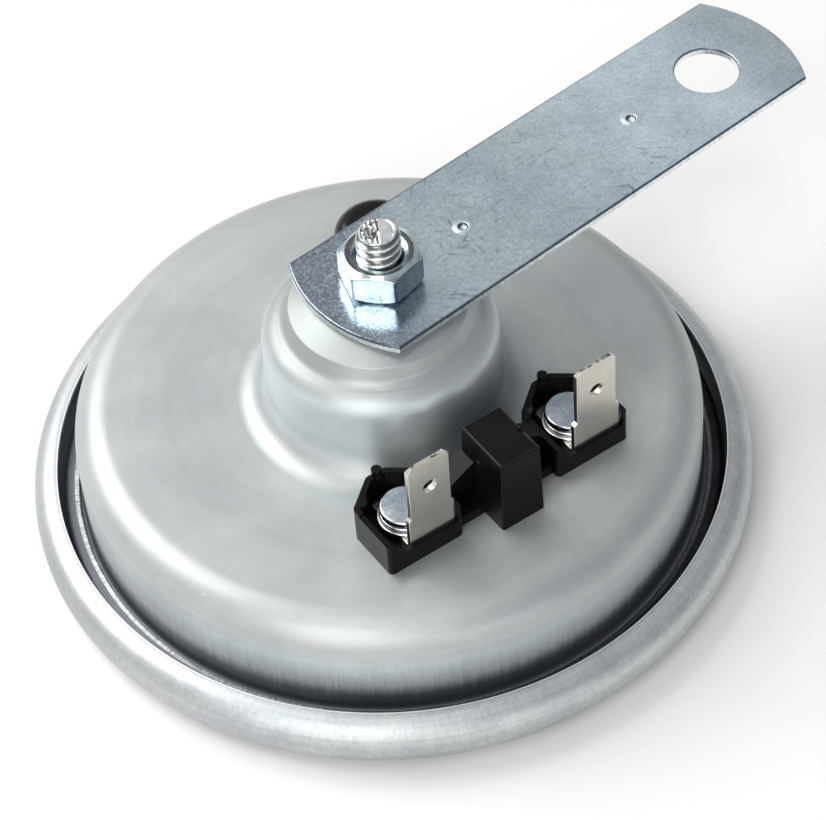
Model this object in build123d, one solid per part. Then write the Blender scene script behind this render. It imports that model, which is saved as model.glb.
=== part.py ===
from build123d import *
import os
from math import sin, cos, pi, radians, degrees, hypot, atan2, tan, acos

# Disc car horn. Millimetres. Z is up, the horn lies on its tone disc.
# Z = 0 is the plane it rests on, the Z axis is the horn's own axis, and +X
# runs along the mounting bracket towards its free end.

os.makedirs("parts", exist_ok=True)

# ---------------------------------------------------------------- dimensions
sheet_t = 0.8           # drawn housing sheet
plateau_z = 19.6        # flat back of the housing
skirt_r = 43.0          # housing skirt, outside
boss_r = 16.2           # raised boss, outside
seat_z = 38.0           # where the bracket sits on the boss
boss_edge_r = 12.0
flange_top = 4.38
stack_r = 45.1          # flange, gaskets and diaphragm rim

clamp_t = 0.65
clamp_r = 46.0
clamp_in = 43.77
clamp_top = 5.03
clamp_bot = 2.03

gasket_t = 0.30
diaphragm_t = 0.30

disc_t = 0.8
disc_r = 50.0
disc_h = 8.3
disc_lip_r = 46.4
disc_seat_z = 4.2

stud_r = 3.0
stud_x = 1.3             # the stud stands a little off the middle of the boss
stud_y = 0.6
stud_top = 48.0
bracket_t = 1.2
bracket_w = 21.4
bracket_y = 0.15
bracket_near = -8.7
bracket_far = 72.0
bracket_near_r = 19.5
bracket_far_r = 18.0
bracket_hole_r = 4.5
bracket_hole_x = 59.9
bracket_hole_y = 0.0
stud_hole_r = 3.5
nut_af = 10.0
nut_h = 5.0

travel = 0.3            # each way

cap_x, cap_y = 16.7, 21.8
cap_r = 6.0
cap_h = 3.8

term_u = 0.9            # terminal block's shift and turn on the plateau
term_turn = -5.3
rivet_us = (-13.0, 13.6)
rivet_v = -22.1
blade_w = 6.3
blade_t = 0.8
blade_tip = 37.3

inner_z = plateau_z - sheet_t


# ------------------------------------------------------------------- helpers
def sub(a, b):
    return (a[0] - b[0], a[1] - b[1])


def unit(a):
    n = hypot(a[0], a[1])
    return (a[0] / n, a[1] / n)


def offset_pts(pts, t):
    """Points of the path shifted by t to its left."""
    out = []
    n = len(pts)
    for i in range(n):
        if i == 0:
            d = unit(sub(pts[1], pts[0]))
            out.append((pts[0][0] - d[1] * t, pts[0][1] + d[0] * t))
        elif i == n - 1:
            d = unit(sub(pts[-1], pts[-2]))
            out.append((pts[-1][0] - d[1] * t, pts[-1][1] + d[0] * t))
        else:
            d1 = unit(sub(pts[i], pts[i - 1]))
            d2 = unit(sub(pts[i + 1], pts[i]))
            n1 = (-d1[1], d1[0])
            n2 = (-d2[1], d2[0])
            k = 1 + n1[0] * n2[0] + n1[1] * n2[1]
            out.append((pts[i][0] + t * (n1[0] + n2[0]) / k,
                        pts[i][1] + t * (n1[1] + n2[1]) / k))
    return out


def offset_radii(pts, radii, t):
    out = []
    for i in range(1, len(pts) - 1):
        d1 = sub(pts[i], pts[i - 1])
        d2 = sub(pts[i + 1], pts[i])
        left = d1[0] * d2[1] - d1[1] * d2[0] > 0
        r = radii[i - 1]
        out.append(max(0.0, r - t) if left else max(0.0, r + t) if r > 0 else 0.0)
    return out


def loop_edges(pts, radii, to3d):
    """Edges of a closed outline; radii has one value for each corner."""
    n = len(pts)
    starts, ends, arcs = [], [], []
    for i in range(n):
        p = pts[i]
        r = radii[i]
        a = unit(sub(pts[i - 1], p))
        b = unit(sub(pts[(i + 1) % n], p))
        dot = max(-1.0, min(1.0, a[0] * b[0] + a[1] * b[1]))
        ang = acos(dot)
        if r < 1e-6 or abs(ang - pi) < 1e-4:
            starts.append(p)
            ends.append(p)
            arcs.append(None)
            continue
        d = r / tan(ang / 2)
        s = (p[0] + a[0] * d, p[1] + a[1] * d)
        e = (p[0] + b[0] * d, p[1] + b[1] * d)
        h = unit((a[0] + b[0], a[1] + b[1]))
        c = r / sin(ang / 2)
        m = (p[0] + h[0] * (c - r), p[1] + h[1] * (c - r))
        starts.append(s)
        ends.append(e)
        arcs.append(m)
    edges = []
    for i in range(n):
        if arcs[i] is not None:
            edges.append(ThreePointArc(to3d(starts[i]), to3d(arcs[i]), to3d(ends[i])))
        q = starts[(i + 1) % n]
        if hypot(q[0] - ends[i][0], q[1] - ends[i][1]) > 1e-6:
            edges.append(Line(to3d(ends[i]), to3d(q)))
    return edges


def outline_face(pts, radii, z=0.0):
    if not isinstance(radii, (list, tuple)):
        radii = [radii] * len(pts)
    es = loop_edges(pts, radii, lambda p: (p[0], p[1], z))
    return Face(Wire(es))


def prism(pts, z0, z1, radii=0.0):
    return extrude(outline_face(pts, radii, z0), z1 - z0, dir=(0, 0, 1))


def turned(pts, radii=0.0):
    if not isinstance(radii, (list, tuple)):
        radii = [radii] * len(pts)
    es = loop_edges(pts, radii, lambda p: (p[0], 0.0, p[1]))
    return revolve(Face(Wire(es)), Axis.Z, 360)


def sheet_turned(pts, radii, t):
    """Pressed sheet: an outer path (r, z), its corner radii, thickness to the left."""
    q = offset_pts(pts, t)
    qr = offset_radii(pts, radii, t)
    loop = list(pts) + list(reversed(q))
    rr = [0.0] + list(radii) + [0.0] + [0.0] + list(reversed(qr)) + [0.0]
    return turned(loop, rr)


def cyl(x, y, z0, z1, r):
    return Pos(x, y, (z0 + z1) / 2) * Cylinder(r, z1 - z0)


def ring(x, y, z0, z1, r, rh):
    return cyl(x, y, z0, z1, r) - cyl(x, y, z0 - 1, z1 + 1, rh)


def box(x0, x1, y0, y1, z0, z1):
    return Pos((x0 + x1) / 2, (y0 + y1) / 2, (z0 + z1) / 2) * Box(x1 - x0, y1 - y0, z1 - z0)


def hexagon(af, z0, z1, turn, chamfer=0.6, both=True):
    """Hexagon nut body with the round chamfer that cuts its corners."""
    rc = af / 2 / cos(pi / 6)
    pts = [(rc * cos(radians(turn + 60 * k)), rc * sin(radians(turn + 60 * k))) for k in range(6)]
    body = prism(pts, z0, z1)
    rin = af / 2 * 0.985
    h = (rc + 0.02 - rin) * tan(radians(30))
    lo = (z0, rin) if both else (z0, rc + 0.02)
    prof = [(0, z0), (lo[1], z0)]
    if both:
        prof.append((rc + 0.02, z0 + h))
    prof += [(rc + 0.02, z1 - h), (rin, z1), (0, z1)]
    return body & turned(prof)


def wire_lead(points, radii, r):
    path = FilletPolyline(*points, radius=radii)
    p0 = path.edges()[0] @ 0
    t0 = path.edges()[0] % 0
    prof = Plane(origin=p0, z_dir=t0) * Circle(r)
    return sweep(prof, path=path)


def ts(t, s):
    """Point on the plateau from the cap's centre: t tangential, s outward."""
    q = hypot(cap_x, cap_y)
    er = (cap_x / q, cap_y / q)
    et = (-er[1], er[0])
    return (cap_x + t * et[0] + s * er[0], cap_y + t * et[1] + s * er[1])


def place_term(shape):
    return Rot(0, 0, term_turn) * Pos(term_u, 0, 0) * shape


def term_pt(u, v):
    a = radians(term_turn)
    x = u + term_u
    return (x * cos(a) - v * sin(a), x * sin(a) + v * cos(a))


parts = {}
near_xy = term_pt(rivet_us[0], rivet_v)
far_xy = term_pt(rivet_us[1], rivet_v)

# ------------------------------------------------------------- rear housing
housing = sheet_turned(
    [(1.2, seat_z), (7.0, seat_z), (boss_edge_r, seat_z - 1.9), (12.9, 33.7),
     (boss_r - 0.25, 32.9), (boss_r, plateau_z), (skirt_r, plateau_z), (skirt_r, flange_top),
     (stack_r, flange_top)],
    [2.0, 0.3, 1.8, 3.4, 4.2, 5.0, 0.7], -sheet_t)
housing -= cyl(stud_x, stud_y, 30, 45, stud_r + 0.1)
housing -= cyl(cap_x, cap_y, 10, 25, 2.0)
housing += ring(cap_x, cap_y, inner_z - 1.8, inner_z, 3.4, 2.0)
for x, y in (near_xy, far_xy):
    housing -= cyl(x, y, 10, 25, 3.0)
for t in (-13.5, -9.5):
    x, y = ts(t, 0)
    housing -= cyl(x, y, 10, 25, 1.2)
parts["rear_housing"] = housing

# --------------------------------------------------- rim stack and clamp ring
f_bot = flange_top - 0.8
parts["rear_gasket"] = ring(0, 0, f_bot - gasket_t, f_bot, stack_r, 41.6)
d_top = f_bot - gasket_t
d_bot = d_top - diaphragm_t
parts["front_gasket"] = ring(0, 0, d_bot - gasket_t, d_bot, stack_r, 41.6)
parts["clamp_ring"] = sheet_turned(
    [(clamp_in, clamp_top), (clamp_r, clamp_top), (clamp_r, clamp_bot), (41.0, clamp_bot)],
    [0.8, 0.8], -clamp_t)
parts["diaphragm"] = sheet_turned(
    [(2.5, 6.2), (12.5, 6.2), (15.5, 5.3), (19.0, 6.0), (22.5, 4.9), (26.0, 5.6),
     (29.5, 4.4), (33.0, 4.9), (37.0, d_bot), (stack_r, d_bot)],
    [1.5] * 8, diaphragm_t)

# ----------------------------------------------------------------- tone disc
parts["tone_disc"] = sheet_turned(
    [(2.5, disc_seat_z), (9.0, disc_seat_z), (14.5, 0.6), (32.0, 0.6), (33.5, 0.0),
     (disc_r, 0.0), (disc_r, disc_h), (disc_lip_r, disc_h)],
    [1.5, 1.5, 2.0, 2.0, 4.15, 3.6], disc_t)

# -------------------------------------------------------------- moving centre
d2 = disc_seat_z + disc_t
parts["spindle_nut"] = hexagon(8.0, 1.0, 3.7, 12, both=True) - cyl(0, 0, 0, 10, 2.5)
parts["front_washer"] = ring(0, 0, 3.7, disc_seat_z, 5.5, 2.5)
parts["disc_spacer"] = ring(0, 0, d2, 6.2, 7.0, 2.5)
parts["diaphragm_washer"] = ring(0, 0, 6.5, 7.3, 8.0, 2.5)
parts["armature"] = turned(
    [(0, 0.8), (2.1, 0.8), (2.5, 1.2), (2.5, 7.3), (7.0, 7.3), (7.0, 11.2), (17.0, 11.2),
     (17.0, 13.4), (8.0, 13.4), (6.0, 14.2), (6.0, 24.4), (5.7, 24.7), (0, 24.7)])

# ------------------------------------------------------- core, coil and studs
boss_in = seat_z - sheet_t
core = turned([(0, 25.5), (6.0, 25.5), (6.3, 25.8), (6.3, boss_in), (0, boss_in)])
core += Pos(stud_x, stud_y, 0) * turned([
    (0, boss_in - 0.5), (stud_r + 0.1, boss_in - 0.5), (stud_r + 0.1, seat_z), (stud_r, seat_z),
    (stud_r, stud_top - 0.8), (stud_r - 0.8, stud_top), (0, stud_top)])
parts["fixed_core"] = core
parts["coil_bobbin"] = turned(
    [(6.3, 20.8), (14.4, 20.8), (14.4, 21.8), (7.3, 21.8), (7.3, 30.0), (14.4, 30.0),
     (14.4, 31.0), (6.3, 31.0)])
parts["coil_winding"] = turned(
    [(7.3, 21.8), (13.4, 21.8), (13.8, 22.4), (13.8, 29.4), (13.4, 30.0), (7.3, 30.0)])

# ---------------------------------------------------------------- contact set
turn_deg = degrees(atan2(cap_y, cap_x)) - 90.0


def place_ts(shape):
    """Shape drawn with x = -t, y = s about the cap's centre."""
    return Pos(cap_x, cap_y, 0) * Rot(0, 0, turn_deg) * shape


def tbox(t0, t1, s0, s1, z0, z1):
    return box(-t1, -t0, s0, s1, z0, z1)


riv_t = (-13.5, -9.5)
strip = tbox(-18.6, 8, -3.5, 3.5, 15.9, 16.7)
arm_leaf = tbox(-20.5, 8, -3.5, 3.5, 14.0, 14.4) + tbox(1, 6, -12, -3.5, 14.0, 14.4)
up = tbox(-15.8, -7.2, -3.5, 3.5, 16.7, inner_z)
mid = tbox(-15.8, -7.2, -3.5, 3.5, 14.4, 15.9)
low = tbox(-15.8, -7.2, -3.5, 3.5, 13.5, 14.0)
rivs = None
for t in riv_t:
    strip -= cyl(-t, 0, 10, 20, 1.8)
    arm_leaf -= cyl(-t, 0, 10, 20, 1.8)
    up -= cyl(-t, 0, 10, 20, 1.2)
    mid -= cyl(-t, 0, 10, 20, 1.2)
    low -= cyl(-t, 0, 10, 20, 1.2)
    one = Pos(-t, 0, 0) * turned([(0, 13.0), (1.8, 13.0), (1.8, 13.5), (1.2, 13.5),
                                  (1.2, plateau_z), (1.8, plateau_z), (1.7, 20.2),
                                  (1.3, 20.4), (0, 20.4)])
    rivs = one if rivs is None else rivs + one
parts["contact_bracket"] = place_ts(strip)
parts["contact_arm"] = place_ts(arm_leaf)
parts["fixed_contact"] = place_ts(cyl(-5, 0, 15.15, 15.9, 2.0))
parts["moving_contact"] = place_ts(cyl(-5, 0, 14.4, 15.15, 2.0))
parts["contact_insulator_upper"] = place_ts(up)
parts["contact_insulator_middle"] = place_ts(mid)
parts["contact_insulator_lower"] = place_ts(low)
parts["contact_rivets"] = place_ts(rivs)

# adjusting screw and its cap
parts["adjusting_screw"] = Pos(cap_x, cap_y, 0) * (
    turned([(0, 16.7), (1.6, 16.7), (2.0, 17.1), (2.0, 20.4), (3.2, 20.4), (3.2, 21.9),
            (2.9, 22.2), (0, 22.2)]) - box(-4, 4, -0.4, 0.4, 21.4, 23))
parts["adjuster_cap"] = Pos(cap_x, cap_y, 0) * turned(
    [(cap_r - 0.8, plateau_z), (cap_r, plateau_z), (cap_r, plateau_z + cap_h),
     (0, plateau_z + cap_h), (0, plateau_z + cap_h - 0.8), (cap_r - 0.8, plateau_z + cap_h - 0.8)],
    [0, 0, 2.6, 0, 0, 1.8])

# ------------------------------------------------------------- terminal block
base_top = 21.2
wall = 0.8


def pocket_pts(c, w):
    """House-shaped outline of a pocket, moved in by w (0.5 at the thin front)."""
    side, back = 5.8 - w, -16.0 - w
    dx, dy = 4.4, 3.5
    n = hypot(dx, dy)
    # chamfer line moved in by w
    px, py = c + 1.4 - w * dy / n, -16.0 - w * dx / n
    v_side = py - (c + side - px) * dy / dx
    u_back = px - (back - py) * dx / dy
    front = -27.6 + min(w, 0.5)
    return [(c - side, front), (c + side, front), (c + side, v_side), (u_back, back),
            (2 * c - u_back, back), (c - side, v_side)]


block = None
for c in (-13.4, 13.4):
    out = pocket_pts(c, 0.0)
    inn = pocket_pts(c, wall)
    pocket = prism(out, plateau_z, 25.2, [0.7, 0.7, 0.9, 0.9, 0.9, 0.9])
    pocket -= prism(inn, base_top, 30)
    # the side walls are a little lower than the back, and the front is low
    pocket -= box(c - 7, c + 7, -28.5, -20.8, 24.9, 30)
    pocket -= box(c - 5.8 + wall, c + 5.8 - wall, -28.5, -26.9, 22.6, 30)
    pocket += cyl(c, -16.5, 25.0, 26.4, 0.7)
    block = pocket if block is None else block + pocket
centre = extrude(outline_face([(-3.4, -30.4), (3.4, -30.4), (3.4, -21.0), (-3.4, -21.0)], 0.5, plateau_z),
                 31.7 - plateau_z, dir=(0, 0, 1), taper=1.5)
block += centre
for sg in (-1, 1):
    x0, x1 = sorted((sg * 3.2, sg * 7.8))
    block += box(x0, x1, -26.4, -20.0, plateau_z, base_top)
    # sloping web between the centre block and the pocket
    web = [(sg * 3.2, base_top - 0.2), (sg * 7.8, base_top - 0.2), (sg * 7.8, 24.8), (sg * 3.2, 27.3)]
    f = Face(Wire(loop_edges(web, [0.0] * 4, lambda p: (p[0], -24.0, p[1]))))
    block += extrude(f, 3.0, dir=(0, 1, 0))
for ru in rivet_us:
    block += ring(ru, rivet_v, inner_z - 1.1, plateau_z + 0.1, 3.0, 1.6)
    block -= cyl(ru, rivet_v, 15, 30, 1.6)
block -= box(2.4, 3.6, -26.9, -26.1, 31.3, 32.5)
# relief for the housing's fillet round the boss
parts["terminal_block"] = place_term(block) - turned(
    [(0, 19.5), (20.5, 19.5), (20.5, 19.62), (19.2, 19.78), (18.0, 20.3), (16.2, 24), (0, 24)])


# ---------------------------------------------------------------- the blades
def blade(cu, c, ru, fw):
    """Standing blade and its foot, bent from one strip; fw is half the foot's width."""
    y0, y1 = -27.1, -27.1 + blade_t
    shoulder = 27.1
    h = blade_w / 2
    cw, ch = 0.85, 1.0
    pts = [(cu - fw, base_top), (cu + fw, base_top), (cu + fw, shoulder), (cu + h, shoulder + 0.35),
           (cu + h, blade_tip - ch), (cu + h - cw, blade_tip), (cu - h + cw, blade_tip),
           (cu - h, blade_tip - ch), (cu - h, shoulder + 0.35), (cu - fw, shoulder)]
    f = Face(Wire(loop_edges(pts, [0] * 10, lambda p: (p[0], y0, p[1]))))
    plate = extrude(f, blade_t, dir=(0, 1, 0))
    plate -= Pos(cu, (y0 + y1) / 2, 32.0) * Rot(90, 0, 0) * Cylinder(1.0, 4)
    inn = pocket_pts(c, wall + 0.12)
    inn[0] = (inn[0][0], y0)
    inn[1] = (inn[1][0], y0)
    foot = prism(inn, base_top, base_top + blade_t) & box(cu - fw, cu + fw, -27.1, -17.8, 20, 25)
    foot -= cyl(ru, rivet_v, 15, 30, 1.6)
    body = plate + foot
    # bend: round the outer lower edge
    cut = box(cu - 6, cu + 6, y0 - 0.01, y0 + 1.0, base_top - 0.01, base_top + 1.0) \
        - Pos(cu, y0 + 1.0, base_top + 1.0) * Rot(0, 90, 0) * Cylinder(1.0, 14)
    return body - cut


parts["terminal_blade_near"] = place_term(blade(-12.05, -13.4, rivet_us[0], 3.5))
parts["terminal_blade_far"] = place_term(blade(14.4, 13.4, rivet_us[1], 3.65))

foot_top = base_top + blade_t
rv = wl = wu = ins = None
for ru in rivet_us:
    a = Pos(ru, rivet_v, 0) * turned(
        [(0, inner_z - 1.9), (3.6, inner_z - 1.9), (4.0, inner_z - 1.5), (4.0, inner_z - 1.1),
         (1.6, inner_z - 1.1), (1.6, foot_top + 1.2), (3.3, foot_top + 1.2),
         (3.3, foot_top + 2.0), (3.0, foot_top + 2.3), (0, foot_top + 2.3)])
    b = ring(ru, rivet_v, foot_top, foot_top + 0.6, 3.8, 1.6)
    c = ring(ru, rivet_v, foot_top + 0.6, foot_top + 1.2, 3.5, 1.6)
    d = ring(ru, rivet_v, inner_z - 1.1, inner_z, 5.0, 3.0)
    rv = a if rv is None else rv + a
    wl = b if wl is None else wl + b
    wu = c if wu is None else wu + c
    ins = d if ins is None else ins + d
parts["terminal_rivets"] = place_term(rv)
parts["terminal_washers_lower"] = place_term(wl)
parts["terminal_washers_upper"] = place_term(wu)
parts["inner_insulators"] = place_term(ins)

# --------------------------------------------------------------------- leads
lead_r = 0.4
tail_z = inner_z - 1.9
nx, ny = near_xy
fx, fy = far_xy
parts["lead_coil_terminal"] = wire_lead(
    [(-6.9, -9.9, 20.8), (-6.9, -9.9, 15.6), (nx, ny, 15.6), (nx, ny, tail_z)], [1.2, 1.0], lead_r)
bx, by = ts(-5.07, -16.65)
q1 = ts(-19.6, -9)
q2 = ts(-19.6, 0)
parts["lead_coil_contact"] = wire_lead(
    [(bx, by, 20.8), (bx, by, 16.4), (q1[0], q1[1], 16.4), (q2[0], q2[1], 16.4),
     (q2[0], q2[1], 14.4)], [1.2, 1.2, 1.0], lead_r)
q3 = ts(-18.0, 1.5)
g = unit((q3[0] - fx, q3[1] - fy))
q4 = (fx + g[0] * 7.5, fy + g[1] * 7.5)
parts["lead_contact_terminal"] = wire_lead(
    [(q3[0], q3[1], 16.7), (q3[0], q3[1], 17.9), (q4[0], q4[1], 17.9), (q4[0], q4[1], 15.6),
     (fx, fy, 15.6), (fx, fy, tail_z)], [0.6, 1.0, 1.0, 0.8], lead_r)

# ---------------------------------------------------------- bracket and nut
b0, b1 = seat_z, seat_z + bracket_t


def arc_pt(xc, r, y, side):
    """x on the end arc (apex at xc) at height y above the bracket's middle line."""
    return xc - side * (r - (r * r - y * y) ** 0.5)


hw = bracket_w / 2
xn = arc_pt(bracket_near, bracket_near_r, hw, -1)
xf = arc_pt(bracket_far, bracket_far_r, hw, 1)
yb = bracket_y
edges = [Line((xn, yb - hw, b0), (xf, yb - hw, b0)),
         ThreePointArc((xf, yb - hw, b0), (bracket_far, yb, b0), (xf, yb + hw, b0)),
         Line((xf, yb + hw, b0), (xn, yb + hw, b0)),
         ThreePointArc((xn, yb + hw, b0), (bracket_near, yb, b0), (xn, yb - hw, b0))]
plate = extrude(Face(Wire(edges)), bracket_t, dir=(0, 0, 1))
plate = fillet(plate.edges().filter_by(Axis.Z), 0.5)
plate -= cyl(stud_x, stud_y, 30, 45, stud_hole_r)
plate -= cyl(bracket_hole_x, bracket_hole_y, 30, 45, bracket_hole_r)
for x, y in ((15.3, 0.35), (45.7, 0.2)):
    plate -= Pos(x, y, b1 + 0.62) * Sphere(1.1)
parts["mounting_bracket"] = plate
parts["mounting_nut"] = Pos(stud_x, stud_y, 0) * (
    hexagon(nut_af, b1, b1 + nut_h, 10, both=True) - cyl(0, 0, 30, 60, stud_r))

for name, shape in parts.items():
    export_step(shape, f"parts/{name}.step")
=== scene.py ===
import bpy, bmesh, math, random
from math import sin, cos, pi, radians, hypot, tan, acos, atan2
from mathutils import Vector, Matrix, noise
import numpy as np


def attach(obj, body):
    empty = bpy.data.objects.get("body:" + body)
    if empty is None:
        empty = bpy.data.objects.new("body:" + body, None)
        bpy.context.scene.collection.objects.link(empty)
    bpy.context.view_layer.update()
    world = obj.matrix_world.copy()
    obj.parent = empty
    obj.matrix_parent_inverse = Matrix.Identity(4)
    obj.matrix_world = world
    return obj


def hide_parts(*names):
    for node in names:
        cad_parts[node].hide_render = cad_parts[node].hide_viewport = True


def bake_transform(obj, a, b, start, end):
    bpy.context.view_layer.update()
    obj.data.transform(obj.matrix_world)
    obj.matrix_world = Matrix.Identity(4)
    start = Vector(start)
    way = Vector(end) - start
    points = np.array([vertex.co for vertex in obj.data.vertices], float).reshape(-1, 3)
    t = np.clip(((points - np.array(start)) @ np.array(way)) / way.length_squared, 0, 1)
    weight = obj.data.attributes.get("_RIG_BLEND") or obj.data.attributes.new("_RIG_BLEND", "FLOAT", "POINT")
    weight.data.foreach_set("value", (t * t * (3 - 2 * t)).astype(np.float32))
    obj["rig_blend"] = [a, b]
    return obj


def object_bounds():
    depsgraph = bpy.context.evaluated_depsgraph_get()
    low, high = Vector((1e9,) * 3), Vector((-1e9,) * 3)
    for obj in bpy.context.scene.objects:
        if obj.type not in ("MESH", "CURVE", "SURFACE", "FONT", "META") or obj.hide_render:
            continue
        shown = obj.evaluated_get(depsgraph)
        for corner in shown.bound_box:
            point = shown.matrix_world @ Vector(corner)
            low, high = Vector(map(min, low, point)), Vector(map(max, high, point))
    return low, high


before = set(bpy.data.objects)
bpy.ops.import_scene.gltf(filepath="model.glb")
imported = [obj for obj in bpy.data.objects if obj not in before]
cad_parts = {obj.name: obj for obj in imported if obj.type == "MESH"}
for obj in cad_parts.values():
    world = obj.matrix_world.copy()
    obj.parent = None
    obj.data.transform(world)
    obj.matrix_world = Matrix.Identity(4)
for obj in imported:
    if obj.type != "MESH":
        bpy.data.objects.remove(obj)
cad_box = [list(v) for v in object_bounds()]

MM = 0.001
HOUSING, MOVING = "housing", "armature"


# =====================================================================
# outline helpers (millimetres)
# =====================================================================
def unit(a):
    n = hypot(a[0], a[1])
    return (a[0] / n, a[1] / n)


def sub(a, b):
    return (a[0] - b[0], a[1] - b[1])


def shifted(pts, t):
    out = []
    n = len(pts)
    for i in range(n):
        if i == 0 or i == n - 1:
            d = unit(sub(pts[1], pts[0])) if i == 0 else unit(sub(pts[-1], pts[-2]))
            out.append((pts[i][0] - d[1] * t, pts[i][1] + d[0] * t))
        else:
            d1 = unit(sub(pts[i], pts[i - 1]))
            d2 = unit(sub(pts[i + 1], pts[i]))
            n1, n2 = (-d1[1], d1[0]), (-d2[1], d2[0])
            k = 1 + n1[0] * n2[0] + n1[1] * n2[1]
            out.append((pts[i][0] + t * (n1[0] + n2[0]) / k, pts[i][1] + t * (n1[1] + n2[1]) / k))
    return out


def shifted_radii(pts, radii, t):
    out = []
    for i in range(1, len(pts) - 1):
        d1, d2 = sub(pts[i], pts[i - 1]), sub(pts[i + 1], pts[i])
        left = d1[0] * d2[1] - d1[1] * d2[0] > 0
        out.append(max(0.0, radii[i - 1] + (-t if left else t)))
    return out


def rounded(pts, radii, step=7.0, long_run=None):
    """A closed outline with its corners rounded, as a list of points."""
    n = len(pts)
    out = []
    for i in range(n):
        p, r = pts[i], radii[i]
        a = unit(sub(pts[i - 1], p))
        b = unit(sub(pts[(i + 1) % n], p))
        ang = acos(max(-1.0, min(1.0, a[0] * b[0] + a[1] * b[1])))
        if r < 1e-6 or abs(ang - pi) < 1e-4:
            out.append(p)
            continue
        d = r / tan(ang / 2)
        h = unit((a[0] + b[0], a[1] + b[1]))
        c = (p[0] + h[0] * r / sin(ang / 2), p[1] + h[1] * r / sin(ang / 2))
        s = (p[0] + a[0] * d, p[1] + a[1] * d)
        e = (p[0] + b[0] * d, p[1] + b[1] * d)
        a0 = atan2(s[1] - c[1], s[0] - c[0])
        a1 = atan2(e[1] - c[1], e[0] - c[0])
        da = (a1 - a0 + pi) % (2 * pi) - pi
        k = max(2, int(math.ceil(abs(math.degrees(da)) / step)))
        for j in range(k + 1):
            q = a0 + da * j / k
            out.append((c[0] + r * cos(q), c[1] + r * sin(q)))
    if long_run:
        dense = []
        for i, p in enumerate(out):
            q = out[(i + 1) % len(out)]
            dense.append(p)
            m = int(hypot(q[0] - p[0], q[1] - p[1]) / long_run)
            for j in range(1, m + 1):
                dense.append((p[0] + (q[0] - p[0]) * j / (m + 1), p[1] + (q[1] - p[1]) * j / (m + 1)))
        out = dense
    return out


def sheet_loop(pts, radii, t, edge=0.12, step=6.0, long_run=None):
    """Closed section of pressed sheet, with its two cut edges just eased."""
    q = shifted(pts, t)
    qr = shifted_radii(pts, radii, t)
    loop = list(pts) + list(reversed(q))
    rr = [edge] + list(radii) + [edge] + [edge] + list(reversed(qr)) + [edge]
    return rounded(loop, rr, step, long_run)


# =====================================================================
# mesh helpers
# =====================================================================
def finish_mesh(me, sharp=38):
    bm = bmesh.new()
    bm.from_mesh(me)
    bmesh.ops.recalc_face_normals(bm, faces=bm.faces)
    bm.to_mesh(me)
    bm.free()
    me.shade_smooth()
    me.set_sharp_from_angle(angle=radians(sharp))
    me.update()


def flatten(me, least):
    """Large flat faces keep one normal, so eased edges don't shade into them."""
    for p in me.polygons:
        if p.area > least * MM * MM:
            p.use_smooth = False


def piece(name, me, mat, body, nodes, sharp=38, tidy=True, flat=None):
    if tidy:
        finish_mesh(me, sharp)
    if flat:
        flatten(me, flat)
    ob = bpy.data.objects.new(name, me)
    bpy.context.scene.collection.objects.link(ob)
    me.materials.clear()
    me.materials.append(mat)
    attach(ob, body)
    if nodes:
        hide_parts(*nodes)
    return ob


def mesh_of(name, verts, faces):
    me = bpy.data.meshes.new(name)
    me.from_pydata([(x * MM, y * MM, z * MM) for x, y, z in verts], [], faces)
    me.validate()
    return me


def lathe_data(loop, n, centre=(0, 0), wobble=None, closed=True):
    verts, faces, ids = [], [], []
    for r, z in loop:
        if abs(r) < 1e-6:
            ids.append([len(verts)] * n)
            verts.append((centre[0], centre[1], z))
            continue
        row = []
        for k in range(n):
            a = 2 * pi * k / n
            rr, zz = (r, z) if wobble is None else wobble(r, z, a)
            row.append(len(verts))
            verts.append((centre[0] + rr * cos(a), centre[1] + rr * sin(a), zz))
        ids.append(row)
    m = len(ids)
    for i in range(m if closed else m - 1):
        A, B = ids[i], ids[(i + 1) % m]
        for k in range(n):
            k2 = (k + 1) % n
            f = [A[k], A[k2], B[k2], B[k]]
            g = []
            for v in f:
                if v not in g:
                    g.append(v)
            if len(g) > 2:
                faces.append(g)
    return verts, faces


def lathe(name, loop, n=128, centre=(0, 0), wobble=None):
    return mesh_of(name, *lathe_data(loop, n, centre, wobble))


def joined(name, datas):
    V, F = [], []
    for v, f in datas:
        k = len(V)
        V += v
        F += [[i + k for i in g] for g in f]
    return mesh_of(name, V, F)


def plate_mesh(name, outlines, thick, bevel=0.15, res=2):
    """Flat plate lying on z = 0..thick with eased edges; first outline outside, the rest holes."""
    cu = bpy.data.curves.new(name, "CURVE")
    cu.dimensions = "2D"
    cu.fill_mode = "BOTH"
    for o in outlines:
        sp = cu.splines.new("POLY")
        sp.points.add(len(o) - 1)
        for i, p in enumerate(o):
            sp.points[i].co = (p[0] * MM, p[1] * MM, 0, 1)
        sp.use_cyclic_u = True
    cu.extrude = (thick / 2 - bevel) * MM
    cu.bevel_depth = bevel * MM
    cu.bevel_resolution = res
    cu.offset = -bevel * MM
    tmp = bpy.data.objects.new(name + "_tmp", cu)
    bpy.context.scene.collection.objects.link(tmp)
    dg = bpy.context.evaluated_depsgraph_get()
    me = bpy.data.meshes.new_from_object(tmp.evaluated_get(dg))
    bpy.data.objects.remove(tmp)
    bpy.data.curves.remove(cu)
    me.name = name
    bm = bmesh.new()
    bm.from_mesh(me)
    bmesh.ops.remove_doubles(bm, verts=bm.verts, dist=1e-6)
    bmesh.ops.translate(bm, verts=bm.verts, vec=(0, 0, thick / 2 * MM))
    bm.to_mesh(me)
    bm.free()
    return me


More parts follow.
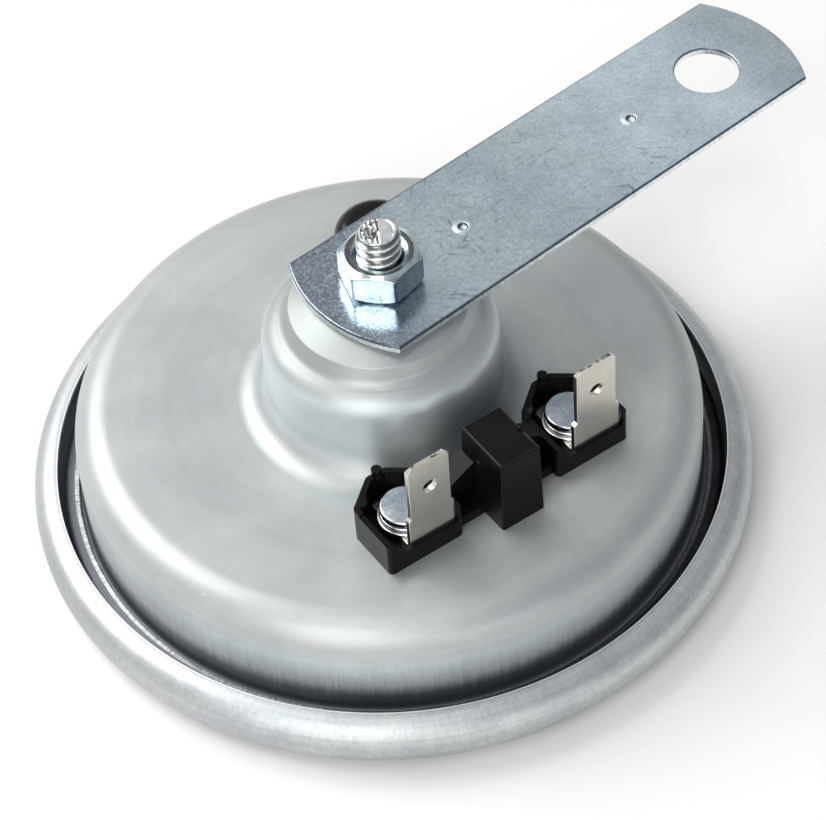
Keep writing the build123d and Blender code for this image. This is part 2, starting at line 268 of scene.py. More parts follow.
def cut(me, cutter_data, keep=False):
    """me minus the closed meshes in cutter_data."""
    a = bpy.data.objects.new("cut_a", me)
    bpy.context.scene.collection.objects.link(a)
    cm = joined("cutter", cutter_data)
    finish_mesh(cm)
    b = bpy.data.objects.new("cut_b", cm)
    bpy.context.scene.collection.objects.link(b)
    md = a.modifiers.new("b", "BOOLEAN")
    md.operation = "DIFFERENCE"
    md.solver = "EXACT"
    md.object = b
    dg = bpy.context.evaluated_depsgraph_get()
    out = bpy.data.meshes.new_from_object(a.evaluated_get(dg))
    out.name = me.name
    bpy.data.objects.remove(a)
    bpy.data.objects.remove(b)
    bpy.data.meshes.remove(cm)
    return out


def circle(cx, cy, r, n=64):
    return [(cx + r * cos(2 * pi * k / n), cy + r * sin(2 * pi * k / n)) for k in range(n)]


def cyl_data(cx, cy, z0, z1, r, n=48):
    return lathe_data([(0, z0), (r, z0), (r, z1), (0, z1)], n, (cx, cy), closed=False)


def transform(me, mat):
    me.transform(mat)
    return me


# =====================================================================
# camera
# =====================================================================
cam_data = bpy.data.cameras.new("camera")
cam_data.sensor_width = 36.0
cam_data.sensor_fit = "HORIZONTAL"
cam_data.lens = 129.65
cam_data.clip_start = 0.01
cam_data.clip_end = 20
cam_data.dof.use_dof = False
cam = bpy.data.objects.new("camera", cam_data)
bpy.context.scene.collection.objects.link(cam)
cpos = Vector((-159.28, -217.67, 320.20)) * MM
ctgt = Vector((10.05, 7.74, 0.0)) * MM
fwd = (ctgt - cpos).normalized()
rt = fwd.cross(Vector((0, 0, 1))).normalized()
up = rt.cross(fwd).normalized()
ir = rt * 0.99668 - up * 0.08138
iu = rt * 0.08138 + up * 0.99668
m = Matrix((ir, iu, -fwd)).transposed().to_4x4()
m.translation = cpos
cam.matrix_world = m
bpy.context.scene.camera = cam
flat_fwd = Vector((fwd.x, fwd.y, 0)).normalized()


# =====================================================================
# materials
# =====================================================================
class Mat:
    """Small helper for building a node material."""

    def __init__(self, name):
        self.m = bpy.data.materials.new(name)
        self.m.use_nodes = True
        self.t = self.m.node_tree
        self.t.nodes.clear()
        self.out = self.t.nodes.new("ShaderNodeOutputMaterial")
        self.b = self.t.nodes.new("ShaderNodeBsdfPrincipled")
        self.t.links.new(self.b.outputs[0], self.out.inputs[0])
        self.co = self.t.nodes.new("ShaderNodeTexCoord").outputs["Object"]
        self.xyz = None
        self.rad = None

    def set(self, **kw):
        for k, v in kw.items():
            k = k.replace("_", " ")
            s = self.b.inputs[k]
            if isinstance(v, bpy.types.NodeSocket):
                self.t.links.new(v, s)
            else:
                s.default_value = v
        return self

    def put(self, sock, v):
        if isinstance(v, bpy.types.NodeSocket):
            self.t.links.new(v, sock)
        elif v is not None:
            sock.default_value = v

    def math(self, op, a, b=None, c=None, clamp=False):
        n = self.t.nodes.new("ShaderNodeMath")
        n.operation = op
        n.use_clamp = clamp
        self.put(n.inputs[0], a)
        self.put(n.inputs[1], b)
        self.put(n.inputs[2], c)
        return n.outputs[0]

    def sep(self):
        if self.xyz is None:
            n = self.t.nodes.new("ShaderNodeSeparateXYZ")
            self.t.links.new(self.co, n.inputs[0])
            self.xyz = n.outputs
        return self.xyz

    def vec(self, x, y, z):
        n = self.t.nodes.new("ShaderNodeCombineXYZ")
        self.put(n.inputs[0], x)
        self.put(n.inputs[1], y)
        self.put(n.inputs[2], z)
        return n.outputs[0]

    def mapped(self, scale=(1, 1, 1), rot=(0, 0, 0), loc=(0, 0, 0), src=None):
        n = self.t.nodes.new("ShaderNodeMapping")
        self.t.links.new(src or self.co, n.inputs[0])
        n.inputs["Scale"].default_value = scale
        n.inputs["Rotation"].default_value = rot
        n.inputs["Location"].default_value = loc
        return n.outputs[0]

    def noise(self, scale, detail=3.0, rough=0.55, src=None, dist=0.0, w=None):
        n = self.t.nodes.new("ShaderNodeTexNoise")
        self.t.links.new(src or self.co, n.inputs["Vector"])
        n.inputs["Scale"].default_value = scale
        n.inputs["Detail"].default_value = detail
        n.inputs["Roughness"].default_value = rough
        n.inputs["Distortion"].default_value = dist
        return n.outputs[0]

    def voronoi(self, scale, src=None, feature="F1", rnd=1.0):
        n = self.t.nodes.new("ShaderNodeTexVoronoi")
        n.feature = feature
        self.t.links.new(src or self.co, n.inputs["Vector"])
        n.inputs["Scale"].default_value = scale
        n.inputs["Randomness"].default_value = rnd
        return n.outputs["Distance"]

    def ramp(self, v, lo, hi, a=0.0, b=1.0, smooth=True):
        n = self.t.nodes.new("ShaderNodeMapRange")
        n.interpolation_type = "SMOOTHSTEP" if smooth else "LINEAR"
        n.clamp = True
        self.put(n.inputs["Value"], v)
        n.inputs["From Min"].default_value = lo
        n.inputs["From Max"].default_value = hi
        n.inputs["To Min"].default_value = a
        n.inputs["To Max"].default_value = b
        return n.outputs[0]

    def mix(self, f, a, b, mode="MIX"):
        n = self.t.nodes.new("ShaderNodeMix")
        n.data_type = "RGBA"
        n.blend_type = mode
        self.put(n.inputs[0], f)
        for i, v in ((6, a), (7, b)):
            if isinstance(v, (tuple, list)) and len(v) == 3:
                v = (*v, 1.0)
            self.put(n.inputs[i], v)
        return n.outputs[2]

    def bump(self, h, dist, strength=1.0, nrm=None):
        n = self.t.nodes.new("ShaderNodeBump")
        n.inputs["Strength"].default_value = strength
        n.inputs["Distance"].default_value = dist
        self.put(n.inputs["Height"], h)
        if nrm is not None:
            self.put(n.inputs["Normal"], nrm)
        return n.outputs[0]

    def radius(self):
        x, y, z = self.sep()
        if self.rad is None:
            self.rad = self.math("SQRT", self.math("ADD", self.math("MULTIPLY", x, x), self.math("MULTIPLY", y, y)))
        return self.rad

    def facing(self, az, wide, soft):
        """1 within wide degrees of a bearing about the axis, fading to 0 soft degrees further."""
        x, y, z = self.sep()
        c, s_ = cos(radians(az)), sin(radians(az))
        d = self.math("ADD", self.math("MULTIPLY", x, c), self.math("MULTIPLY", y, s_))
        d = self.math("DIVIDE", d, self.math("MAXIMUM", self.radius(), 0.0001))
        return self.ramp(d, cos(radians(wide + soft)), cos(radians(wide)))

    def polar(self, k_ang, k_run):
        """Coordinates for marks that run across a turned surface: fine round it, slow along it."""
        x, y, z = self.sep()
        ang = self.math("ARCTAN2", y, x)
        rad = self.radius()
        ca = self.math("MULTIPLY", self.math("COSINE", ang), k_ang)
        sa = self.math("MULTIPLY", self.math("SINE", ang), k_ang)
        run = self.math("MULTIPLY", self.math("SUBTRACT", z, rad), k_run)
        return self.vec(ca, sa, run)


def times(k, col, tone):
    return k.mix(1.0, col, k.vec(tone, tone, tone), "MULTIPLY")


def housing_steel():
    """Satin zinc-coated sheet: cloudy flats, faint turned rings, draw marks down the skirt."""
    k = Mat("galvanised_housing")
    x, y, z = k.sep()
    rad = k.radius()
    clouds = k.noise(38, 3, 0.62)
    patch = k.noise(95, 3, 0.6)
    fine = k.noise(2100, 1, 0.65)
    rings = k.noise(420, 2, 0.55, src=k.vec(rad, k.math("MULTIPLY", z, 0.7), 0.0))
    arcs = k.noise(30, 2, 0.6, src=k.polar(0.35, 26.0))
    skirt = k.ramp(rad, 0.0405, 0.0428)
    draw = k.noise(52, 3, 0.7, src=k.polar(1.0, 1.2))
    draw2 = k.noise(210, 2, 0.65, src=k.polar(1.0, 2.5))
    wall = k.math("MULTIPLY", k.ramp(rad, 0.0160, 0.0172, 1.0, 0.0), k.ramp(z, 0.0335, 0.0315))
    col = k.mix(k.ramp(clouds, 0.32, 0.68), (0.365, 0.392, 0.400), (0.430, 0.452, 0.452))
    t = k.math("ADD", 1.0, k.math("MULTIPLY", k.math("SUBTRACT", patch, 0.5), 0.16))
    t = k.math("ADD", t, k.math("MULTIPLY", k.math("SUBTRACT", rings, 0.5), 0.13))
    t = k.math("ADD", t, k.math("MULTIPLY", k.math("SUBTRACT", arcs, 0.5), 0.12))
    t = k.math("ADD", t, k.math("MULTIPLY", k.math("SUBTRACT", fine, 0.5), 0.12))
    dd = k.math("ADD", k.math("MULTIPLY", k.math("SUBTRACT", draw, 0.5), 0.30), k.math("MULTIPLY", k.math("SUBTRACT", draw2, 0.5), 0.32))
    amt = k.math("ADD", k.math("MULTIPLY", skirt, k.ramp(z, 0.0165, 0.0095, 0.25, 1.0)), k.math("MULTIPLY", wall, 0.25))
    t = k.math("ADD", t, k.math("MULTIPLY", dd, amt))
    col = times(k, col, t)
    # painted light: the upright walls (upper skirt and boss wall) are painted brighter and bluer than the flats
    side = k.math("MAXIMUM", k.math("MULTIPLY", skirt, k.ramp(z, 0.0165, 0.0130)), wall)
    col = k.mix(side, col, k.mix(1.0, col, (1.38, 1.42, 1.46), "MULTIPLY"))
    # painted shade on the lower boss wall beside the terminal block
    block_shade = k.math("MULTIPLY", k.facing(-70, 20, 26), k.math("MULTIPLY", k.ramp(rad, 0.0220, 0.0170), k.ramp(z, 0.0325, 0.0265)))
    col = k.mix(k.math("MULTIPLY", block_shade, 0.62), col, (0.115, 0.125, 0.150))
    # painted shade: the upper boss is painted darker on its left side, where the light falls strongest
    boss_left_dimming = k.math("MULTIPLY", k.facing(155, 38, 30), k.ramp(z, 0.0300, 0.0335))
    col = k.mix(k.math("MULTIPLY", boss_left_dimming, 0.55), col, (0.24, 0.265, 0.27))
    # painted shade: the skirt is painted blue-grey towards its foot, and near black just above the clamp ring, in the
    # gap
    low = k.math("MULTIPLY", skirt, k.ramp(k.math("ADD", z, k.math("MULTIPLY", k.math("SUBTRACT", draw, 0.5), 0.006)), 0.0100, 0.0055))
    col = k.mix(k.math("MULTIPLY", low, 0.55), col, (0.200, 0.225, 0.260))
    foot = k.math("MULTIPLY", k.ramp(rad, 0.0420, 0.0430), k.ramp(k.math("ADD", z, k.math("MULTIPLY", k.math("SUBTRACT", draw2, 0.5), 0.0012)), 0.0098, 0.0068))
    col = k.mix(k.math("MULTIPLY", foot, 0.72), col, (0.030, 0.032, 0.040))
    # rubbed, slightly brown marks along the shoulder
    rub = k.math("MULTIPLY", k.ramp(k.noise(170, 3, 0.7), 0.60, 0.72), k.math("MULTIPLY", k.ramp(rad, 0.0385, 0.0405), k.ramp(z, 0.0135, 0.0155)))
    col = k.mix(k.math("MULTIPLY", rub, 0.34), col, (0.56, 0.47, 0.43))
    # a few small dark specks and tiny light nicks
    v = k.voronoi(150)
    pick = k.noise(130, 1, 0.4)
    sp = k.math("MULTIPLY", k.ramp(v, 0.030, 0.060, 1.0, 0.0), k.ramp(pick, 0.60, 0.66))
    col = k.mix(k.math("MULTIPLY", sp, 0.6), col, (0.10, 0.10, 0.11))
    nick = k.math("MULTIPLY", k.ramp(v, 0.018, 0.042, 1.0, 0.0), k.ramp(pick, 0.50, 0.44))
    col = k.mix(k.math("MULTIPLY", nick, 0.30), col, (0.80, 0.82, 0.82))
    k.set(Base_Color=col, Metallic=0.58)
    r = k.math("ADD", 0.44, k.math("MULTIPLY", k.math("SUBTRACT", patch, 0.5), 0.14))
    r = k.math("ADD", r, k.math("MULTIPLY", k.math("SUBTRACT", fine, 0.5), 0.10))
    k.set(Roughness=r)
    h = k.math("ADD", k.math("MULTIPLY", fine, 0.16), k.math("MULTIPLY", k.math("MULTIPLY", dd, amt), 0.55))
    h = k.math("ADD", h, k.math("MULTIPLY", k.noise(90, 1, 0.5), 0.55))
    h = k.math("ADD", h, k.math("MULTIPLY", rings, 0.10))
    k.set(Normal=k.bump(h, 0.00003, 1.0))
    return k.m


def disc_steel():
    """Zinc-coated disc: short fine marks across the rolled rim; painted shade inside it, and a painted highlight line
    on its cut edge.
    """
    k = Mat("zinc_tone_disc")
    x, y, z = k.sep()
    rad = k.radius()
    pol = k.polar(1.0, 3.0)
    d1 = k.noise(95, 3, 0.7, src=pol)
    d2 = k.noise(420, 3, 0.7, src=k.polar(1.0, 10.0))
    clouds = k.noise(60, 2, 0.6)
    fine = k.noise(2400, 1, 0.65)
    fleck = k.noise(900, 2, 0.7)
    band = k.noise(1.0, 2, 0.6, src=k.vec(k.math("MULTIPLY", rad, 2600), k.math("MULTIPLY", z, 2600), k.math("MULTIPLY", k.math("ADD", x, y), 22)))
    col = k.mix(k.ramp(clouds, 0.32, 0.68), (0.43, 0.46, 0.48), (0.55, 0.57, 0.57))
    t = k.math("ADD", 1.0, k.math("MULTIPLY", k.math("SUBTRACT", d1, 0.5), 0.26))
    t = k.math("ADD", t, k.math("MULTIPLY", k.math("SUBTRACT", d2, 0.5), 0.55))
    t = k.math("ADD", t, k.math("MULTIPLY", k.math("SUBTRACT", fleck, 0.5), 0.34))
    t = k.math("ADD", t, k.math("MULTIPLY", k.math("SUBTRACT", band, 0.5), 0.30))
    t = k.math("ADD", t, k.math("MULTIPLY", k.math("SUBTRACT", fine, 0.5), 0.22))
    col = times(k, col, t)
    # painted shade: the rolled rim is painted darker on its left side, where the light falls strongest
    col = k.mix(k.math("MULTIPLY", k.facing(146, 32, 22), 0.42), col, (0.30, 0.32, 0.33))
    # painted shade: the rolled-in edge and everything inside it are painted dark, lighter towards the left where light
    # reaches in, and made rougher
    dr = k.math("MAXIMUM", k.math("SUBTRACT", rad, 0.04585), 0.0)
    dz = k.math("SUBTRACT", z, 0.00415)
    tube = k.math("SQRT", k.math("ADD", k.math("MULTIPLY", dr, dr), k.math("MULTIPLY", dz, dz)))
    inner = k.ramp(tube, 0.00385, 0.00372)
    g = k.t.nodes.new("ShaderNodeNewGeometry")
    gs = k.t.nodes.new("ShaderNodeSeparateXYZ")
    k.t.links.new(g.outputs["Normal"], gs.inputs[0])
    inner = k.math("MULTIPLY", inner, k.math("MAXIMUM", k.ramp(gs.outputs[2], -0.10, 0.10), k.ramp(rad, 0.0452, 0.0458)))
    # painted highlight: a near-white line along the cut edge of the lip, with a slightly darker band on the lip just
    # outside it
    lip = k.math("MULTIPLY", k.ramp(rad, 0.0470, 0.0465), k.ramp(z, 0.0070, 0.0074))
    rim = k.math("MULTIPLY", k.ramp(rad, 0.04665, 0.04650), k.ramp(z, 0.0076, 0.0079))
    shade = k.mix(k.facing(165, 35, 30), (0.050, 0.054, 0.064), (0.30, 0.33, 0.39))
    col = k.mix(k.math("MULTIPLY", inner, 0.90), col, shade)
    col = k.mix(k.math("MULTIPLY", lip, 0.40), col, (0.20, 0.20, 0.22))
    col = k.mix(k.math("MULTIPLY", rim, 0.75), col, (0.86, 0.88, 0.90))
    v = k.voronoi(230)
    pick = k.noise(160, 1, 0.4)
    sp = k.math("MULTIPLY", k.ramp(v, 0.03, 0.07, 1.0, 0.0), k.ramp(pick, 0.58, 0.64))
    col = k.mix(k.math("MULTIPLY", sp, 0.65), col, (0.10, 0.10, 0.11))
    k.set(Base_Color=col, Metallic=0.88)
    r = k.math("ADD", 0.43, k.math("MULTIPLY", k.math("SUBTRACT", d2, 0.5), 0.16))
    k.set(Roughness=k.math("ADD", r, k.math("MULTIPLY", inner, 0.15)))
    h = k.math("ADD", k.math("MULTIPLY", fine, 0.22), k.math("MULTIPLY", d2, 0.45))
    h = k.math("ADD", h, k.math("MULTIPLY", d1, 0.65))
    h = k.math("ADD", h, k.math("MULTIPLY", fleck, 0.30))
    h = k.math("ADD", h, k.math("MULTIPLY", band, 0.55))
    k.set(Normal=k.bump(h, 0.00003, 1.0))
    return k.m


def clamp_steel():
    """Clamp ring: painted near black as shade in the gap and lighter on its left, with a sheared lip painted bright
    only on the left.
    """
    k = Mat("sheared_clamp")
    x, y, z = k.sep()
    rad = k.radius()
    big = k.noise(500, 4, 0.7)
    tear = k.noise(260, 4, 0.75, src=k.polar(1.0, 2.0))
    fine = k.noise(3000, 3, 0.6)
    lip = k.math("MULTIPLY", k.ramp(rad, 0.04455, 0.04425), k.ramp(z, 0.00425, 0.00445))
    # painted shade: the ring is painted near black where it sits in the gap, and painted lighter on its left side; the
    # sheared lip gets its painted brightness only on the left and is dark elsewhere
    dark_tone = k.mix(k.ramp(big, 0.3, 0.7), (0.014, 0.015, 0.018), (0.030, 0.032, 0.037))
    bright = k.mix(k.ramp(tear, 0.36, 0.62), (0.36, 0.38, 0.40), (0.88, 0.89, 0.88))
    near = k.facing(178, 34, 16)
    dark_tone = k.mix(k.math("MULTIPLY", k.facing(172, 30, 30), 0.8), dark_tone, (0.26, 0.28, 0.32))
    bright = k.mix(near, k.mix(0.88, bright, (0.030, 0.032, 0.037)), bright)
    col = k.mix(lip, dark_tone, bright)
    t = k.math("ADD", 1.0, k.math("MULTIPLY", k.math("SUBTRACT", fine, 0.5), 0.5))
    k.set(Base_Color=times(k, col, t), Metallic=0.9)
    k.set(Roughness=k.math("ADD", 0.34, k.math("MULTIPLY", k.math("SUBTRACT", 1.0, lip), 0.2)))
    h = k.math("ADD", k.math("MULTIPLY", big, 0.5), k.math("MULTIPLY", tear, 1.0))
    k.set(Normal=k.bump(h, 0.00004, 1.0))
    return k.m


def plated(name, base, tint, rough, grain=1.0, scratch=0.0, mottle=0.4, scale=1.0, extra=None, metallic=1.0):
    """Bright plated steel, mottled, with hairline scratches where asked."""
    k = Mat(name)
    big = k.noise(140 * scale, 4, 0.6)
    mid = k.noise(650 * scale, 4, 0.65)
    fine = k.noise(3200, 2, 0.6)
    col = k.mix(k.ramp(big, 0.35, 0.66), base, tint)
    t = k.math("ADD", 1.0, k.math("MULTIPLY", k.math("SUBTRACT", mid, 0.5), 0.9 * mottle))
    t = k.math("ADD", t, k.math("MULTIPLY", k.math("SUBTRACT", fine, 0.5), 0.3 * grain))
    col = times(k, col, t)
    h = k.math("ADD", k.math("MULTIPLY", mid, 0.6 * grain), k.math("MULTIPLY", fine, 0.3 * grain))
    if extra:
        col, h = extra(k, col, h)
    if scratch > 0:
        sc = hairlines(k, 3000, 260)
        col = k.mix(k.math("MULTIPLY", sc, 0.5 * scratch), col, tuple(c * 0.35 for c in base))
        h = k.math("SUBTRACT", h, k.math("MULTIPLY", sc, 0.8))
    k.set(Base_Color=col, Metallic=metallic)
    r = k.math("ADD", rough, k.math("MULTIPLY", k.math("SUBTRACT", mid, 0.5), 0.25 * grain))
    k.set(Roughness=r, Normal=k.bump(h, 0.00001, 1.0))
    return k.m


def hairlines(k, fine, run, many=((0.35, 0.0), (-0.75, 3.1), (1.45, 7.7), (2.3, 11.3)),
              lo=0.64, hi=0.69):
    """Short thin scratches lying every way."""
    sc = None
    bend = k.noise(70, 1, 0.5)
    for rot, seed in many:
        n = k.t.nodes.new("ShaderNodeVectorMath")
        n.operation = "ADD"
        k.t.links.new(k.co, n.inputs[0])
        k.t.links.new(k.vec(k.math("MULTIPLY", bend, 0.007), k.math("MULTIPLY", bend, -0.005), 0.0), n.inputs[1])
        turned_ = k.mapped((1, 1, 1), (0, 0, rot), src=n.outputs[0])
        s1 = k.noise(1.0, 1, 0.5, src=k.mapped((fine, run, run), (0, 0, 0), (seed, seed, 0), src=turned_))
        s2 = k.noise(260, 1, 0.5, src=k.mapped((1, 1, 1), (0, 0, 0), (seed, 0, seed)))
        one = k.math("MULTIPLY", k.ramp(s1, lo, hi), k.ramp(s2, 0.54, 0.60))
        sc = one if sc is None else k.math("MAXIMUM", sc, one)
    return sc


def strap_zinc():
    """Blue-passivated zinc strap: fine mottle, painted darker end at the nut and painted lighter far part, hairlines,
    punch marks with painted highlights and shade, painted light and shade along the cut edges.
    """
    k = Mat("passivated_strap")
    x, y, z = k.sep()
    big = k.noise(60, 3, 0.62)
    mid = k.noise(1700, 3, 0.72)
    fine = k.noise(4200, 1, 0.65)
    haze = k.noise(150, 3, 0.6, src=k.mapped((1, 1, 1), (0, 0, 0.7), (0.4, 0.1, 0.3)))
    col = k.mix(k.ramp(big, 0.30, 0.70), (0.465, 0.560, 0.625), (0.545, 0.630, 0.680))
    t = k.math("ADD", 1.0, k.math("MULTIPLY", k.math("SUBTRACT", mid, 0.5), 0.50))
    t = k.math("ADD", t, k.math("MULTIPLY", k.math("SUBTRACT", fine, 0.5), 0.40))
    t = k.math("ADD", t, k.math("MULTIPLY", k.math("SUBTRACT", haze, 0.5), 0.46))
    # painted light: the part of the strap towards the far end is painted lighter
    far = k.math("MULTIPLY", k.ramp(x, 0.026, 0.047), k.ramp(x, 0.068, 0.058))
    col = times(k, col, k.math("MULTIPLY", t, k.math("ADD", 1.02, k.math("MULTIPLY", far, 0.33))))
    # painted shade: the end under the nut is painted darker and slightly purple, and more finely speckled; it is also
    # made a little smoother
    xm = k.math("ADD", x, k.math("MULTIPLY", k.math("SUBTRACT", big, 0.5), 0.012))
    xm = k.math("ADD", xm, k.math("MULTIPLY", y, -0.35))
    nearend = k.ramp(xm, -0.004, 0.012, 1.0, 0.0)
    dark_tone = k.mix(k.ramp(k.noise(3000, 3, 0.80), 0.41, 0.60), (0.105, 0.125, 0.190), (0.440, 0.500, 0.560))
    col = k.mix(k.math("MULTIPLY", nearend, 0.72), col, times(k, dark_tone, t))
    # hairlines, mostly on the middle
    sc = hairlines(k, 2600, 240, lo=0.630, hi=0.690)
    zone = k.math("ADD", 0.35, k.math("MULTIPLY", k.ramp(k.noise(45, 2, 0.5), 0.42, 0.58), 0.65))
    sc = k.math("MULTIPLY", sc, k.math("MULTIPLY", zone, k.ramp(x, 0.052, 0.036, 0.22, 1.0)))
    col = k.mix(k.math("MULTIPLY", sc, 0.62), col, (0.085, 0.105, 0.135))
    pits = k.math("MULTIPLY", k.ramp(k.voronoi(620), 0.05, 0.14, 1.0, 0.0), k.ramp(k.noise(300, 2, 0.5), 0.54, 0.60))
    col = k.mix(k.math("MULTIPLY", pits, 0.5), col, (0.12, 0.14, 0.17))
    h = k.math("ADD", k.math("MULTIPLY", mid, 0.5), k.math("MULTIPLY", fine, 0.35))
    h = k.math("SUBTRACT", h, k.math("MULTIPLY", k.math("MAXIMUM", sc, pits), 0.6))
    # punch marks: a painted highlight on each raised ring and painted shade in each pit
    for mx, my in MARKS:
        dx = k.math("SUBTRACT", x, mx * MM)
        dy = k.math("SUBTRACT", y, my * MM)
        d = k.math("SQRT", k.math("ADD", k.math("MULTIPLY", dx, dx), k.math("MULTIPLY", dy, dy)))
        up_ = k.math("MULTIPLY", k.ramp(d, 0.00055, 0.00080), k.ramp(d, 0.00165, 0.00085))
        h = k.math("ADD", h, k.math("MULTIPLY", up_, 14.0))
        col = k.mix(k.math("MULTIPLY", up_, 0.75), col, (0.80, 0.90, 0.95))
        pit_shade = k.ramp(d, 0.0006, 0.0004)
        col = k.mix(k.math("MULTIPLY", pit_shade, 0.5), col, (0.24, 0.29, 0.33))
    # painted reflection: the sheared edge faces are painted brighter than the flat, under a painted dark line along the
    # rounded top edge
    side = k.ramp(z, 0.03892, 0.03882)
    col = k.mix(k.math("MULTIPLY", side, 0.85), col, k.mix(k.ramp(mid, 0.35, 0.6), (0.62, 0.66, 0.68), (0.97, 0.98, 0.98)))
    edge_line_shade = k.math("MULTIPLY", k.ramp(z, 0.03885, 0.03897), k.ramp(z, 0.039196, 0.03917))
    col = k.mix(k.math("MULTIPLY", edge_line_shade, 0.85), col, (0.055, 0.070, 0.095))
    # painted shadow: a dark line along the long edges of the top face, in patches
    line = k.ramp(k.math("ABSOLUTE", k.math("SUBTRACT", y, 0.15 * MM)), 0.01036, 0.01052)
    line = k.math("MULTIPLY", line, k.ramp(k.noise(700, 2, 0.6), 0.30, 0.50, 0.55, 1.0))
    col = k.mix(k.math("MULTIPLY", k.math("MULTIPLY", line, k.ramp(z, 0.03885, 0.03895)), 0.55), col, (0.10, 0.125, 0.16))
    k.set(Base_Color=col, Metallic=1.0)
    r = k.math("ADD", 0.27, k.math("MULTIPLY", k.math("SUBTRACT", mid, 0.5), 0.24))
    r = k.math("ADD", r, k.math("MULTIPLY", nearend, -0.09))
    r = k.math("ADD", r, k.math("MULTIPLY", side, 0.15))
    k.set(Roughness=r, Normal=k.bump(h, 0.00001, 1.0))
    return k.m


def plastic(name, base, hi, rough, grain=1.0, speck=0.0, spec=0.25, coat=0.0, rims=0.0):
    k = Mat(name)
    n1 = k.noise(260, 4, 0.6)
    n2 = k.noise(2600, 2, 0.6)
    col = k.mix(k.ramp(n1, 0.3, 0.7), base, hi)
    if speck:
        v = k.voronoi(420)
        pick = k.noise(330, 1, 0.4)
        s = k.math("MULTIPLY", k.ramp(v, 0.05, 0.11, 1.0, 0.0), k.ramp(pick, 0.60, 0.66))
        col = k.mix(k.math("MULTIPLY", s, speck), col, (0.16, 0.16, 0.16))
    r = k.math("ADD", rough, k.math("MULTIPLY", k.math("SUBTRACT", n1, 0.5), 0.18))
    if rims:
        # painted highlight: the rounded edges of the block's top are painted lighter, and made a little smoother
        g = k.t.nodes.new("ShaderNodeNewGeometry")
        s = k.t.nodes.new("ShaderNodeSeparateXYZ")
        k.t.links.new(g.outputs["Normal"], s.inputs[0])
        up_ = k.math("ABSOLUTE", s.outputs[2])
        rim = k.math("MULTIPLY", k.ramp(up_, 0.30, 0.55), k.ramp(up_, 0.97, 0.86))
        rim = k.math("MULTIPLY", rim, k.ramp(n1, 0.30, 0.55, 0.55, 1.0))
        rim = k.math("MULTIPLY", rim, k.ramp(k.sep()[2], 0.0315, 0.0319))
        col = k.mix(k.math("MULTIPLY", rim, rims), col, (0.085, 0.085, 0.095))
        r = k.math("SUBTRACT", r, k.math("MULTIPLY", rim, 0.10))
    k.set(Base_Color=col, Metallic=0.0, Specular_IOR_Level=spec, Coat_Weight=coat)
    h = k.math("ADD", k.math("MULTIPLY", n2, 0.5), k.math("MULTIPLY", n1, 0.5))
    k.set(Roughness=r, Normal=k.bump(h, 0.00002 * grain, 1.0))
    return k.m


def blade_extra(k, col, h):
    """Long faint rolling marks up the blade, darker sheared tip."""
    x, y, z = k.sep()
    run = k.noise(1.0, 3, 0.6, src=k.mapped((1500, 1500, 60)))
    t = k.math("ADD", 1.0, k.math("MULTIPLY", k.math("SUBTRACT", run, 0.5), 0.12))
    col = times(k, col, t)
    tip = k.math("MULTIPLY", k.ramp(z, 0.03685, 0.03715), k.ramp(k.noise(1100, 2, 0.6), 0.46, 0.56))
    col = k.mix(k.math("MULTIPLY", tip, 0.85), col, (0.07, 0.065, 0.06))
    return col, k.math("ADD", h, k.math("MULTIPLY", run, 0.12))


def nut_extra(k, col, h):
    """Darker, grainy top and bottom faces, with a painted lighter patch where the top faces the front; the flats and
    chamfers stay bright.
    """
    x, y, z = k.sep()
    flat = k.math("MAXIMUM", k.ramp(z, 0.04415, 0.04419), k.ramp(z, 0.03925, 0.03921))
    g = k.noise(2200, 3, 0.7)
    dx = k.math("SUBTRACT", x, 1.3 * MM)
    dy = k.math("SUBTRACT", y, 0.6 * MM)
    rad = k.math("SQRT", k.math("ADD", k.math("MULTIPLY", dx, dx), k.math("MULTIPLY", dy, dy)))
    # painted light: the top and bottom faces are painted lighter on the side facing the front
    lit = k.ramp(k.math("DIVIDE", k.math("ADD", k.math("MULTIPLY", dx, -0.42), k.math("MULTIPLY", dy, -0.91)), rad), 0.55, 0.90)
    dark_tone = k.mix(k.ramp(g, 0.35, 0.65), (0.090, 0.085, 0.088), (0.240, 0.230, 0.228))
    dark_tone = k.mix(k.math("MULTIPLY", lit, 0.75), dark_tone, (0.62, 0.66, 0.66))
    col = k.mix(k.math("MULTIPLY", flat, 0.90), col, dark_tone)
    # painted shade on the front-right flat, below the top face
    front_right_shade = k.ramp(k.math("DIVIDE", k.math("ADD", k.math("MULTIPLY", dx, 0.17), k.math("MULTIPLY", dy, -0.98)), rad), 0.80, 0.90)
    front_right_shade = k.math("MULTIPLY", front_right_shade, k.ramp(z, 0.0440, 0.0437))
    col = k.mix(k.math("MULTIPLY", front_right_shade, 0.45), col, (0.16, 0.19, 0.22))
    # darker lines along the corners and just under the chamfer, in patches
    edge = k.ramp(rad, 0.00558, 0.00568)
    cone = k.math("SUBTRACT", 0.0442, k.math("MULTIPLY", k.math("SUBTRACT", rad, 0.00452), 0.577))
    under = k.math("SUBTRACT", cone, z)
    line = k.math("MULTIPLY", k.ramp(under, 0.00005, 0.00012), k.ramp(under, 0.00030, 0.00018))
    line = k.math("MULTIPLY", line, k.ramp(z, 0.0420, 0.0425))
    mark = k.math("MULTIPLY", k.math("MAXIMUM", edge, line), k.ramp(g, 0.30, 0.50))
    col = k.mix(k.math("MULTIPLY", mark, 0.72), col, (0.10, 0.12, 0.14))
    return col, k.math("ADD", h, k.math("MULTIPLY", k.math("MULTIPLY", g, flat), 1.4))


